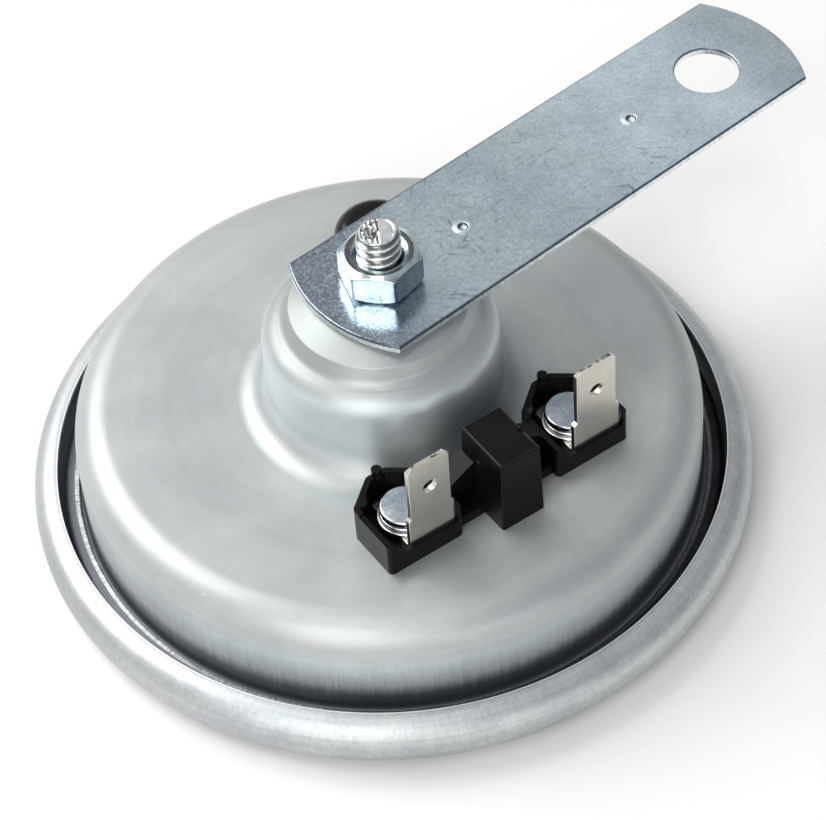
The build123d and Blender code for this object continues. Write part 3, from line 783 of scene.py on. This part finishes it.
def stud_extra(k, col, h):
    """Painted shade in the thread's root, and the torn half of the cut end dark."""
    x, y, z = k.sep()
    dx = k.math("SUBTRACT", x, 1.3 * MM)
    dy = k.math("SUBTRACT", y, 0.6 * MM)
    rad = k.math("SQRT", k.math("ADD", k.math("MULTIPLY", dx, dx), k.math("MULTIPLY", dy, dy)))
    g = k.noise(1400, 3, 0.7)
    # painted shade in the thread's root
    root = k.math("MULTIPLY", k.ramp(rad, 0.00294, 0.00272), k.ramp(z, 0.04765, 0.04750))
    col = k.mix(k.math("MULTIPLY", root, 0.80), col, (0.045, 0.045, 0.050))
    across = k.math("ADD", k.math("MULTIPLY", dx, 0.80), k.math("MULTIPLY", dy, -0.60))
    along = k.math("ADD", k.math("MULTIPLY", dx, 0.60), k.math("MULTIPLY", dy, 0.80))
    tear = k.noise(1.0, 3, 0.7, src=k.vec(k.math("MULTIPLY", across, 2600), k.math("MULTIPLY", along, 700), 0.0))
    end = k.math("MULTIPLY", k.ramp(z, 0.04772, 0.04780), k.ramp(across, 0.00022, 0.00008))
    dark = k.math("MULTIPLY", end, k.ramp(tear, 0.60, 0.46))
    col = k.mix(k.math("MULTIPLY", dark, 0.93), col, (0.040, 0.038, 0.038))
    return col, k.math("ADD", h, k.math("MULTIPLY", k.math("MULTIPLY", tear, end), 3.0))


MARKS = ((15.28, 0.36), (45.66, 0.19))
M_HOUSING = housing_steel()
M_DISC = disc_steel()
M_CLAMP = clamp_steel()
M_BRACKET = strap_zinc()
M_STUD = plated("bright_zinc_thread", (0.78, 0.83, 0.84), (0.97, 0.99, 0.98), 0.17, grain=0.8, mottle=0.35, scale=3,
               extra=stud_extra)
M_NUT = plated("bright_zinc_nut", (0.50, 0.60, 0.65), (0.68, 0.78, 0.82), 0.17, grain=0.7, scratch=0.5, mottle=0.25, scale=2,
              extra=nut_extra)
M_BLADE = plated("tinned_blade", (0.63, 0.60, 0.535), (0.69, 0.655, 0.59), 0.25, grain=0.12, scratch=0.12, mottle=0.05,
                 extra=blade_extra)
M_RIVET = plated("rivet_zinc", (0.36, 0.41, 0.46), (0.51, 0.56, 0.61), 0.25, grain=0.9, scratch=0.6, mottle=0.35, scale=1.6)
M_WASHER = plated("washer_zinc", (0.50, 0.52, 0.54), (0.68, 0.70, 0.71), 0.24, grain=0.8, mottle=0.3, scale=2)
M_BLOCK = plastic("charcoal_moulding", (0.0020, 0.0020, 0.0024), (0.0040, 0.0040, 0.0046), 0.34, grain=0.5, speck=0.4, spec=0.13, rims=0.85)
M_CAP = plastic("gloss_cap", (0.0030, 0.0030, 0.0034), (0.0050, 0.0050, 0.0055), 0.17, grain=0.25, spec=0.20, coat=0.0)
M_CORE = plated("turned_iron", (0.36, 0.36, 0.37), (0.48, 0.48, 0.49), 0.38, grain=1.0, mottle=0.4, scale=2)
M_SPRING = plated("spring_strip", (0.42, 0.44, 0.46), (0.56, 0.57, 0.59), 0.30, grain=0.7, scratch=0.3, mottle=0.2)
M_TUNG = plated("contact_metal", (0.50, 0.49, 0.46), (0.64, 0.62, 0.58), 0.36, grain=1.0, mottle=0.3, scale=3)
M_BOARD = plastic("laminated_board", (0.10, 0.045, 0.020), (0.16, 0.075, 0.035), 0.5, grain=2.0)
M_FIBRE = plastic("pressed_fibre", (0.022, 0.021, 0.019), (0.042, 0.039, 0.035), 0.8, grain=3.0)
M_BOBBIN = plastic("bobbin_moulding", (0.020, 0.020, 0.020), (0.035, 0.035, 0.035), 0.5)


def copper_wire(name, turns=0.0):
    k = Mat(name)
    n = k.noise(300, 3, 0.6)
    col = k.mix(k.ramp(n, 0.3, 0.7), (0.42, 0.13, 0.045), (0.62, 0.24, 0.09))
    h = k.noise(1500, 2, 0.5)
    if turns:
        z = k.sep()[2]
        wv = k.math("SINE", k.math("MULTIPLY", z, 2 * pi / turns))
        h = k.math("ADD", k.math("MULTIPLY", h, 0.2), wv)
        # painted shade in the grooves between turns
        col = k.mix(k.ramp(wv, -1, 0.2, 0.7, 0.0), col, (0.12, 0.03, 0.012))
    k.set(Base_Color=col, Metallic=0.9, Roughness=k.math("ADD", 0.25, k.math("MULTIPLY", n, 0.15)), Coat_Weight=0.5,
          Normal=k.bump(h, 0.00008 if turns else 0.00001, 1.0))
    return k.m


M_WIND = copper_wire("enamelled_winding", 0.0005)
M_LEAD = copper_wire("enamelled_lead")

# =====================================================================
# rear housing
# =====================================================================
H_PTS = [(1.2, 38.0), (7.0, 38.0), (12.0, 36.1), (12.9, 33.7), (15.95, 32.9), (16.2, 19.6), (43.0, 19.6),
         (43.0, 4.38), (45.1, 4.38)]
H_RAD = [2.0, 0.3, 1.8, 3.4, 4.2, 5.0, 0.7]
TERM = Matrix.Rotation(radians(-5.3), 4, "Z") @ Matrix.Translation((0.9 * MM, 0, 0))


def term_xy(u, v):
    p = TERM @ Vector((u * MM, v * MM, 0))
    return p.x / MM, p.y / MM


CAP = (16.7, 21.8)
STUD = (1.3, 0.6)
RIVETS = (-13.0, 13.6)
q_ = hypot(*CAP)
ER = (CAP[0] / q_, CAP[1] / q_)
ET = (-ER[1], ER[0])


def soft_wobble(amp_r, amp_z, freq, seed):
    def f(r, z, a):
        p = Vector((cos(a) * freq, sin(a) * freq, (z - r) * 0.05 + seed))
        return r + amp_r * noise.noise(p), z + amp_z * noise.noise(p + Vector((9.1, 3.3, 0)))
    return f


holes = [cyl_data(CAP[0], CAP[1], 17, 21, 2.02), cyl_data(STUD[0], STUD[1], 34, 41, 3.1)]
for ru in RIVETS:
    x, y = term_xy(ru, -22.1)
    holes.append(cyl_data(x, y, 17, 21, 3.0))
for t in (-13.5, -9.5):
    holes.append(cyl_data(CAP[0] + t * ET[0], CAP[1] + t * ET[1], 17, 21, 1.2))
me = lathe("rear_housing_skin", sheet_loop(H_PTS, H_RAD, -0.8, edge=0.1, step=5, long_run=6.0), 256)
finish_mesh(me)
me = cut(me, holes)
piece("housing_shell", me, M_HOUSING, HOUSING, ["rear_housing"], sharp=32)

# =====================================================================
# tone disc and clamp ring
# =====================================================================
D_PTS = [(2.5, 4.2), (9.0, 4.2), (14.5, 0.6), (32.0, 0.6), (33.5, 0.0), (50.0, 0.0), (50.0, 8.3), (46.4, 8.3)]
D_RAD = [1.5, 1.5, 2.0, 2.0, 4.15, 3.6]
me = lathe("tone_disc_skin", sheet_loop(D_PTS, D_RAD, 0.8, edge=0.14, step=5), 320)
piece("tone_disc_shell", me, M_DISC, MOVING, ["tone_disc"])

C_PTS = [(43.77, 5.03), (46.0, 5.03), (46.0, 2.03), (41.0, 2.03)]


def sheared(r, z, a):
    """The cut lip isn't quite even."""
    if r < 44.6 and z > 4.0:
        k = 1.0 - max(0.0, r - 43.77) / 0.9
        p = Vector((cos(a) * 60, sin(a) * 60, z * 2))
        q = Vector((cos(a) * 14, sin(a) * 14, z))
        return (r + k * (0.07 * noise.noise(p) + 0.06 * noise.noise(q)), z + k * 0.04 * noise.noise(p + Vector((5, 5, 5))))
    return r, z


me = lathe("clamp_ring_skin", sheet_loop(C_PTS, [0.8, 0.8], -0.65, edge=0.15, step=9), 720, wobble=sheared)
piece("clamp_ring_rim", me, M_CLAMP, HOUSING, ["clamp_ring"], sharp=50)

# =====================================================================
# bracket
# =====================================================================
def arc3(a, b, c, n=40):
    """Points on the circle through a, b and c, from a to c."""
    ax, ay = a[0] - b[0], a[1] - b[1]
    cx, cy = c[0] - b[0], c[1] - b[1]
    d = 2 * (ax * cy - ay * cx)
    ux = (cy * (ax * ax + ay * ay) - ay * (cx * cx + cy * cy)) / d
    uy = (ax * (cx * cx + cy * cy) - cx * (ax * ax + ay * ay)) / d
    ox, oy = b[0] + ux, b[1] + uy
    r = hypot(ux, uy)
    a0 = atan2(a[1] - oy, a[0] - ox)
    am = atan2(b[1] - oy, b[0] - ox)
    a1 = atan2(c[1] - oy, c[0] - ox)
    dm = (am - a0 + pi) % (2 * pi) - pi
    d1 = dm + ((a1 - am + pi) % (2 * pi) - pi)
    return [(ox + r * cos(a0 + d1 * k / n), oy + r * sin(a0 + d1 * k / n)) for k in range(n + 1)]


B0, B1 = 38.0, 39.2
outer = arc3((68.72, -10.50), (72.0, 0.5), (68.95, 10.80)) + arc3((-6.02, 11.05), (-8.7, 0.9), (-5.04, -10.62))
me = plate_mesh("strap", [outer, circle(STUD[0], STUD[1], 3.5, 64)[::-1], circle(59.85, 0.0, 4.5, 96)[::-1]], 1.2, 0.22, 3)
me.transform(Matrix.Translation((0, 0, B0 * MM)))
punch = []
for x, y in MARKS:
    punch.append(lathe_data([(0, B1 - 0.45), (0.25, B1 - 0.42), (0.45, B1 - 0.30), (0.62, B1 - 0.12), (0.70, B1), (0.75, B1 + 0.6),
                             (0, B1 + 0.6)], 32, (x, y), closed=False))
me = cut(me, punch)
piece("strap_bracket", me, M_BRACKET, HOUSING, ["mounting_bracket"], sharp=40, flat=0.6)

# =====================================================================
# nut and stud
# =====================================================================


def nut_mesh(name, af, z0, z1, bore, turn, per_side=14, soft=0.35):
    rc = af / 2 / cos(pi / 6)
    corners = [(rc * cos(radians(turn + 60 * k)), rc * sin(radians(turn + 60 * k))) for k in range(6)]
    loop = rounded(corners, [soft] * 6, 20, long_run=af / 2 / per_side)
    n = len(loop)
    rin = af / 2 * 0.905
    rows = []
    bc = bore + 0.78

    def ring_of(f):
        rows.append([f(p, hypot(*p), atan2(p[1], p[0])) for p in loop])

    sl = tan(radians(30))
    h = lambda r: max(0.0, (r - rin)) * sl
    ring_of(lambda p, r, a: (bore * cos(a), bore * sin(a), z0 + 0.35))
    ring_of(lambda p, r, a: (bc * cos(a), bc * sin(a), z0))
    ring_of(lambda p, r, a: (rin * cos(a), rin * sin(a), z0))
    ring_of(lambda p, r, a: (p[0] * 0.985, p[1] * 0.985, z0 + h(r * 0.985)))
    ring_of(lambda p, r, a: (p[0], p[1], z0 + h(r) + 0.10))
    ring_of(lambda p, r, a: (p[0], p[1], z1 - h(r) - 0.10))
    ring_of(lambda p, r, a: (p[0] * 0.985, p[1] * 0.985, z1 - h(r * 0.985)))
    ring_of(lambda p, r, a: (rin * cos(a), rin * sin(a), z1))
    ring_of(lambda p, r, a: ((bc + 0.05) * cos(a), (bc + 0.05) * sin(a), z1))
    ring_of(lambda p, r, a: (bore * cos(a), bore * sin(a), z1 - 0.50))
    V = [v for row in rows for v in row]
    F = []
    R = len(rows)
    for i in range(R):
        j = (i + 1) % R
        for k in range(n):
            k2 = (k + 1) % n
            F.append([i * n + k, i * n + k2, j * n + k2, j * n + k])
    return mesh_of(name, V, F)


AT_STUD = Matrix.Translation((STUD[0] * MM, STUD[1] * MM, 0))
piece("hex_nut", transform(nut_mesh("hex_nut", 10.0, 39.2, 44.2, 3.0, 10), AT_STUD), M_NUT, HOUSING, ["mounting_nut"],
      sharp=20)


def stud_mesh():
    """Thread standing at the stud's own centre, on a core that is centred on the boss."""
    n = 120
    rows = []
    pitch, crest, root = 1.4, 2.99, 2.36
    top = 48.0
    z = 37.25
    rows.append([(3.1 * cos(2 * pi * k / n), 3.1 * sin(2 * pi * k / n), 37.2) for k in range(n)])
    rows.append([(3.1 * cos(2 * pi * k / n), 3.1 * sin(2 * pi * k / n), 38.0) for k in range(n)])
    z = 38.3
    rt_a = atan2(rt.y, rt.x)
    while z < top - 0.14:
        row = []
        for k in range(n):
            a = 2 * pi * k / n
            f = ((z / pitch) - a / (2 * pi) + 0.30) % 1.0
            if f < 0.14:
                w = 1.0
            elif f < 0.50:
                w = 1.0 - (f - 0.14) / 0.36
            elif f < 0.64:
                w = 0.0
            else:
                w = (f - 0.64) / 0.36
            w = w * w * (3 - 2 * w) * 0.45 + w * 0.55
            r = root + (crest - root) * w
            lim = 2.99 - max(0.0, z - (top - 0.85)) * 1.05
            lim -= 0.07 * noise.noise(Vector((cos(a) * 3, sin(a) * 3, z)))
            r = min(r, max(lim, 1.9))
            row.append((r * cos(a), r * sin(a), z))
        rows.append(row)
        z += 1.4 / 20
    # the cut end: a low ridge runs away from the strap, one side of it torn
    for rr, dz in ((2.08, -0.06), (1.9, 0.0), (1.55, 0.02), (1.15, 0.02), (0.75, 0.02), (0.35, 0.02)):
        row = []
        for k in range(n):
            a = 2 * pi * k / n
            x, y = rr * cos(a), rr * sin(a)
            t = rr * cos(a - rt_a)
            d = 0.10 * noise.noise(Vector((x * 0.9, y * 0.9, 4.0))) + 0.05 * noise.noise(Vector((x * 3, y * 3, 1.0)))
            if t < 0.15:
                u = rr * sin(a - rt_a)
                d += -0.10 + 0.09 * sin(t * 9.0 + u * 2.0) * min(1.0, (0.15 - t) * 1.5)
            else:
                d += -0.11 * (t - 0.15)
            row.append((x, y, top + dz - 0.12 + d * 0.8))
        rows.append(row)
    V = [v for row in rows for v in row]
    F = []
    for i in range(len(rows) - 1):
        for k in range(n):
            k2 = (k + 1) % n
            F.append([i * n + k, i * n + k2, (i + 1) * n + k2, (i + 1) * n + k])
    c0 = len(V)
    V.append((0, 0, top - 0.12))
    last = (len(rows) - 1) * n
    for k in range(n):
        F.append([last + k, last + (k + 1) % n, c0])
    V = [(x + STUD[0], y + STUD[1], z) for x, y, z in V]
    # core under the boss, centred on the horn
    prof = rounded([(0, 25.5), (6.0, 25.5), (6.3, 25.8), (6.3, 37.2)], [0, 0.1, 0.1, 0], 15)[:-1] + [(6.3, 37.2)]
    base = len(V)
    m = 96
    for r, zz in prof:
        V += [(r * cos(2 * pi * k / m), r * sin(2 * pi * k / m), zz) for k in range(m)]
    for i in range(len(prof) - 1):
        for k in range(m):
            k2 = (k + 1) % m
            F.append([base + i * m + k, base + i * m + k2, base + (i + 1) * m + k2, base + (i + 1) * m + k])
    # flat shoulder between the core's rim and the foot of the stud
    outer_ids = [base + (len(prof) - 1) * m + k for k in range(m)]
    inner_ids = list(range(n))
    me = mesh_of("threaded_stud", V, F)
    bm = bmesh.new()
    bm.from_mesh(me)
    bm.verts.ensure_lookup_table()
    edges = []
    for ids in (outer_ids, inner_ids):
        for q in range(len(ids)):
            e = bm.edges.get((bm.verts[ids[q]], bm.verts[ids[(q + 1) % len(ids)]]))
            edges.append(e)
    bmesh.ops.triangle_fill(bm, edges=edges, use_beauty=True)
    bmesh.ops.remove_doubles(bm, verts=bm.verts, dist=1e-7)
    bm.to_mesh(me)
    bm.free()
    return me


piece("core_and_stud", stud_mesh(), M_STUD, HOUSING, ["fixed_core"], sharp=60)

# =====================================================================
# cap over the adjusting screw
# =====================================================================
cap_loop = rounded([(5.2, 19.6), (6.0, 19.6), (6.0, 23.4), (0, 23.4), (0, 22.6), (5.2, 22.6)],
                   [0.08, 0.1, 2.6, 0, 0, 1.8], 5)
me = lathe("cap_dome", cap_loop, 96, CAP)
piece("adjuster_dome", me, M_CAP, HOUSING, ["adjuster_cap"])

# =====================================================================
# terminals
# =====================================================================
rv, w1, w2 = [], [], []
for ru in RIVETS:
    c = (ru, -22.1)
    rv.append(lathe_data(rounded([(0, 16.9), (3.7, 16.9), (4.0, 17.2), (4.0, 17.7), (1.6, 17.7), (1.6, 23.2), (3.3, 23.2),
                                  (3.3, 24.25), (0, 24.3)], [0, 0.1, 0.1, 0.1, 0, 0, 0.25, 0.3, 0], 15)
                         , 72, c, closed=False))
    w1.append(lathe_data(rounded([(1.62, 22.0), (3.8, 22.0), (3.8, 22.55), (1.62, 22.55)], [0.05, 0.24, 0.24, 0.05], 15), 72, c))
    w2.append(lathe_data(rounded([(1.62, 22.62), (3.42, 22.62), (3.42, 23.15), (1.62, 23.15)], [0.05, 0.22, 0.22, 0.05], 15), 72, c))
piece("rivet_pair", transform(joined("rivet_pair", rv), TERM), M_RIVET, HOUSING, ["terminal_rivets"])
piece("washer_pair_lower", transform(joined("washer_pair_lower", w1), TERM), M_WASHER, HOUSING,
      ["terminal_washers_lower"])
piece("washer_pair_upper", transform(joined("washer_pair_upper", w2), TERM), M_WASHER, HOUSING,
      ["terminal_washers_upper"])


def blade_mesh(name, cu, fw, foot_pts, hole_u, seed):
    """Flat blank, then bent up at the front edge of the foot."""
    rnd = random.Random(seed)
    tip, shoulder, bend = 37.3, 27.1, 22.2
    arc = 0.6 * pi / 2
    s0 = 0.0                       # blank coordinate: 0 at the tip, grows down the blade and along the foot
    sb = tip - bend
    h, cw, ch, sh = 3.15, 0.85, 1.0, 0.35
    pts = [(cu - h + cw, 0.0)]
    m = 30
    for i in range(1, m):          # the sheared tip is a little ragged
        pts.append((cu - h + cw + (2 * h - 2 * cw) * i / m, rnd.uniform(0.0, 0.05)))
    pts += [(cu + h - cw, 0.0), (cu + h, ch), (cu + h, tip - shoulder - sh), (cu + fw, tip - shoulder),
            (cu + fw, sb + arc * 0.9)]
    right = [(u, sb + arc + (v + 26.1)) for u, v in foot_pts]
    pts += right
    pts += [(cu - fw, tip - shoulder), (cu - h, tip - shoulder - sh), (cu - h, ch)]
    hole = [(cu + cos(-2 * pi * k / 32), tip - 32.0 + sin(-2 * pi * k / 32)) for k in range(32)]
    fh = [(hole_u + 1.6 * cos(-2 * pi * k / 40), sb + arc + 4.0 + 1.6 * sin(-2 * pi * k / 40)) for k in range(40)]
    me = plate_mesh(name, [pts, hole, fh], 0.8, 0.09, 2)
    bm = bmesh.new()
    bm.from_mesh(me)
    for s in [1.1 * MM] + [(sb + arc * i / 12) * MM for i in range(13)]:
        geom = bm.verts[:] + bm.edges[:] + bm.faces[:]
        bmesh.ops.bisect_plane(bm, geom=geom, plane_co=(0, s, 0), plane_no=(0, 1, 0), dist=1e-7)
    for v in bm.verts:
        u, s, w = v.co.x / MM, v.co.y / MM, v.co.z / MM
        # w 0..0.8: 0 is the side that ends up as the foot's top and the blade's back
        if s <= sb:
            if s < 1.1:            # the tip is thinned from behind
                w = 0.8 - (0.8 - w) * (0.42 + 0.58 * max(0.0, s) / 1.1)
            y, z = -27.1 + 0.8 - w, tip - s
        elif s < sb + arc:
            q = (s - sb) / 0.6
            rr = 0.2 + w
            y, z = -26.1 - rr * cos(q), 22.2 - rr * sin(q)
        else:
            y, z = -26.1 + (s - sb - arc), 22.0 - w
        v.co = Vector((u * MM, y * MM, z * MM))
    bm.to_mesh(me)
    bm.free()
    return transform(me, TERM)


near_foot = [(-8.6, -20.0), (-11.3, -17.85), (-15.2, -17.85), (-15.55, -18.2)]
far_foot = [(18.0, -19.85), (15.5, -17.85), (11.3, -17.85), (10.75, -18.3)]
piece("blade_near", blade_mesh("blade_near", -12.05, 3.5, near_foot, RIVETS[0], 3), M_BLADE, HOUSING,
      ["terminal_blade_near"], sharp=40, flat=0.25)
piece("blade_far", blade_mesh("blade_far", 14.4, 3.65, far_foot, RIVETS[1], 8), M_BLADE, HOUSING,
      ["terminal_blade_far"], sharp=40, flat=0.25)

# moulded block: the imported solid, with its edges eased
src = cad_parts["terminal_block"].data
me = src.copy()
me.name = "moulded_block"
bm = bmesh.new()
bm.from_mesh(me)
bmesh.ops.remove_doubles(bm, verts=bm.verts, dist=2e-6)
bmesh.ops.dissolve_limit(bm, angle_limit=radians(2.5), verts=bm.verts, edges=bm.edges)
bm.to_mesh(me)
bm.free()
ob = piece("moulded_block", me, M_BLOCK, HOUSING, ["terminal_block"], tidy=False)
inv = TERM.inverted()
bm = bmesh.new()
bm.from_mesh(me)
spots = {v: inv @ v.co / MM for v in bm.verts}
centre = {v for v, q in spots.items() if abs(q.x) < 3.7 and -30.7 < q.y < -20.7}
top = max(spots[v].z for v in centre)
lid = [f for f in bm.faces if all(v in centre and spots[v].z > top - 0.02 for v in f.verts)]
inner_edges = [e for e in bm.edges if len(e.link_faces) == 2 and all(f in lid for f in e.link_faces)]
if inner_edges:
    bmesh.ops.dissolve_edges(bm, edges=inner_edges, use_verts=False)
    lid = [f for f in bm.faces if all(v in centre and spots[v].z > top - 0.02 for v in f.verts)]
# the lid's edge is rolled over in small steps
EASE, STEPS = 0.42, 5
if len(lid) == 1:
    below = list(lid[0].verts)
    home = [spots[v].copy() for v in below]
    bm.faces.remove(lid[0])
    x0, x1 = min(q.x for q in home) + 0.5, max(q.x for q in home) - 0.5
    y0, y1 = min(q.y for q in home) + 0.5, max(q.y for q in home) - 0.5
    for v in below:
        v.co.z = (top - EASE) * MM
    for i in range(1, STEPS + 1):
        turn_ = radians(90.0 * i / STEPS)
        row = []
        for q in home:
            core = Vector((min(max(q.x, x0), x1), min(max(q.y, y0), y1), 0))
            out = Vector((q.x, q.y, 0)) - core
            if out.length > 1e-4:
                out.normalize()
            p = Vector((q.x, q.y, 0)) - out * EASE * (1 - cos(turn_))
            row.append(bm.verts.new(TERM @ (Vector((p.x, p.y, top - EASE + EASE * sin(turn_))) * MM)))
        for j in range(len(row)):
            n_ = (j + 1) % len(row)
            bm.faces.new((below[j], below[n_], row[n_], row[j]))
        below = row
    bm.faces.new(below)
bm.to_mesh(me)
bm.free()
wts = me.attributes.new("bevel_weight_edge", "FLOAT", "EDGE")
bm = bmesh.new()
bm.from_mesh(me)
bm.edges.ensure_lookup_table()
for e in bm.edges:
    if len(e.link_faces) != 2 or e.calc_face_angle(0.0) < radians(50):
        continue
    if any((inv @ v.co / MM).z > top - 1.5 for v in e.verts):
        continue
    wts.data[e.index].value = 1.0
bm.free()
bv = ob.modifiers.new("ease", "BEVEL")
bv.width = 0.22 * MM
bv.segments = 3
bv.limit_method = "WEIGHT"
bv.harden_normals = False
dg = bpy.context.evaluated_depsgraph_get()
new = bpy.data.meshes.new_from_object(ob.evaluated_get(dg))
ob.modifiers.clear()
ob.data = new
new.shade_smooth()
new.set_sharp_from_angle(angle=radians(34))
flatten(new, 0.5)

# =====================================================================
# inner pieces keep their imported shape
# =====================================================================
for node, mat in {
    "rear_gasket": M_FIBRE, "front_gasket": M_FIBRE, "armature": M_CORE,
    "spindle_nut": M_NUT, "front_washer": M_WASHER, "disc_spacer": M_WASHER, "diaphragm_washer": M_WASHER,
    "coil_bobbin": M_BOBBIN, "coil_winding": M_WIND, "contact_bracket": M_SPRING, "contact_arm": M_SPRING,
    "fixed_contact": M_TUNG, "moving_contact": M_TUNG, "contact_insulator_upper": M_BOARD,
    "contact_insulator_middle": M_BOARD, "contact_insulator_lower": M_BOARD, "contact_rivets": M_RIVET,
    "adjusting_screw": M_NUT, "inner_insulators": M_BOARD, "lead_coil_terminal": M_LEAD,
    "lead_coil_contact": M_LEAD, "lead_contact_terminal": M_LEAD,
}.items():
    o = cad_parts[node]
    o.data.materials.clear()
    o.data.materials.append(mat)

# the diaphragm flexes: its rim stays clamped in the housing while its middle travels with the armature
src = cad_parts["diaphragm"]
me = src.data.copy()
me.name = "diaphragm_sheet"
me.transform(src.matrix_world)
me.materials.clear()
me.materials.append(M_SPRING)
ob = bpy.data.objects.new("diaphragm_sheet", me)
bpy.context.scene.collection.objects.link(ob)
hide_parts("diaphragm")
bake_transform(ob, "housing", "armature", start=(0.0368, 0, 0.0031), end=(0.0131, 0, 0.0062))
held = []
for v in me.vertices:
    # both clamped flats stay rigid, so the flexing part runs between the vertex rings that bound them
    t = min(max((0.0368 - (v.co.x ** 2 + v.co.y ** 2) ** 0.5) / 0.0237, 0.0), 1.0)
    held.append(t * t * (3 - 2 * t))
me.attributes["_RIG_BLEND"].data.foreach_set("value", held)

# =====================================================================
# floor, world and lights
# =====================================================================
bm = bmesh.new()
bmesh.ops.create_grid(bm, x_segments=8, y_segments=8, size=3.0)
me = bpy.data.meshes.new("floor")
bm.to_mesh(me)
bm.free()
floor = bpy.data.objects.new("floor", me)
floor.location.z = cad_box[0][2] - 0.0001
bpy.context.scene.collection.objects.link(floor)
k = Mat("paper_floor")
n = k.noise(3, 2, 0.5)
k.set(Base_Color=k.mix(k.ramp(n, 0.3, 0.7), (0.735, 0.735, 0.735), (0.75, 0.748, 0.742)), Roughness=0.75, Specular_IOR_Level=0.2)
me.materials.append(k.m)

world = bpy.data.worlds.new("studio")
bpy.context.scene.world = world
world.use_nodes = True
wt = world.node_tree
wt.nodes.clear()
wo = wt.nodes.new("ShaderNodeOutputWorld")
bg = wt.nodes.new("ShaderNodeBackground")
tc = wt.nodes.new("ShaderNodeTexCoord")
dot = wt.nodes.new("ShaderNodeVectorMath")
dot.operation = "DOT_PRODUCT"
side = (-rt * 0.9 + flat_fwd * 0.35 + Vector((0, 0, 0.25))).normalized()
dot.inputs[1].default_value = side
wt.links.new(tc.outputs["Generated"], dot.inputs[0])
mr = wt.nodes.new("ShaderNodeMapRange")
mr.inputs["From Min"].default_value = -0.9
mr.inputs["From Max"].default_value = 0.9
mr.inputs["To Min"].default_value = 0.0
mr.inputs["To Max"].default_value = 1.0
wt.links.new(dot.outputs["Value"], mr.inputs["Value"])
cr = wt.nodes.new("ShaderNodeMix")
cr.data_type = "RGBA"
cr.inputs[6].default_value = (0.36, 0.40, 0.46, 1)
cr.inputs[7].default_value = (1.0, 0.99, 0.97, 1)
wt.links.new(mr.outputs[0], cr.inputs[0])
wt.links.new(cr.outputs[2], bg.inputs["Color"])
bg.inputs["Strength"].default_value = 0.72
wt.links.new(bg.outputs[0], wo.inputs[0])


def area(name, pos, target, size, power, colour=(1, 1, 1), size_y=None):
    ld = bpy.data.lights.new(name, "AREA")
    ld.shape = "RECTANGLE"
    ld.size = size
    ld.size_y = size_y or size
    ld.energy = power
    ld.color = colour
    o = bpy.data.objects.new(name, ld)
    o.location = pos
    o.rotation_euler = (Vector(target) - Vector(pos)).to_track_quat("-Z", "Y").to_euler()
    bpy.context.scene.collection.objects.link(o)
    return o


def at(right, away, high):
    return rt * right + flat_fwd * away + Vector((0, 0, high))


area("key", at(-0.75, 0.45, 0.85), (0, 0, 0.02), 0.95, 14.0, (1.0, 0.99, 0.97))
area("front_left", at(-0.35, -0.98, 0.54), (0, 0, 0.02), 0.75, 6.3, (1.0, 0.965, 0.91), size_y=1.02)
area("front_high", at(-0.40, -0.76, 0.98), (0, 0, 0.03), 0.50, 2.1, (0.93, 1.0, 1.0))
area("above", at(-0.12, -0.28, 1.20), (0, 0, 0.02), 0.34, 1.3, (1.0, 0.98, 0.94))
area("low_right", at(0.50, -0.98, 0.15), (0, 0, 0.02), 0.7, 2.0, (1.0, 0.985, 0.96))

sc = bpy.context.scene
sc.view_settings.view_transform = "Standard"
sc.view_settings.look = "None"
sc.view_settings.exposure = 0.0
sc.view_settings.gamma = 1.0
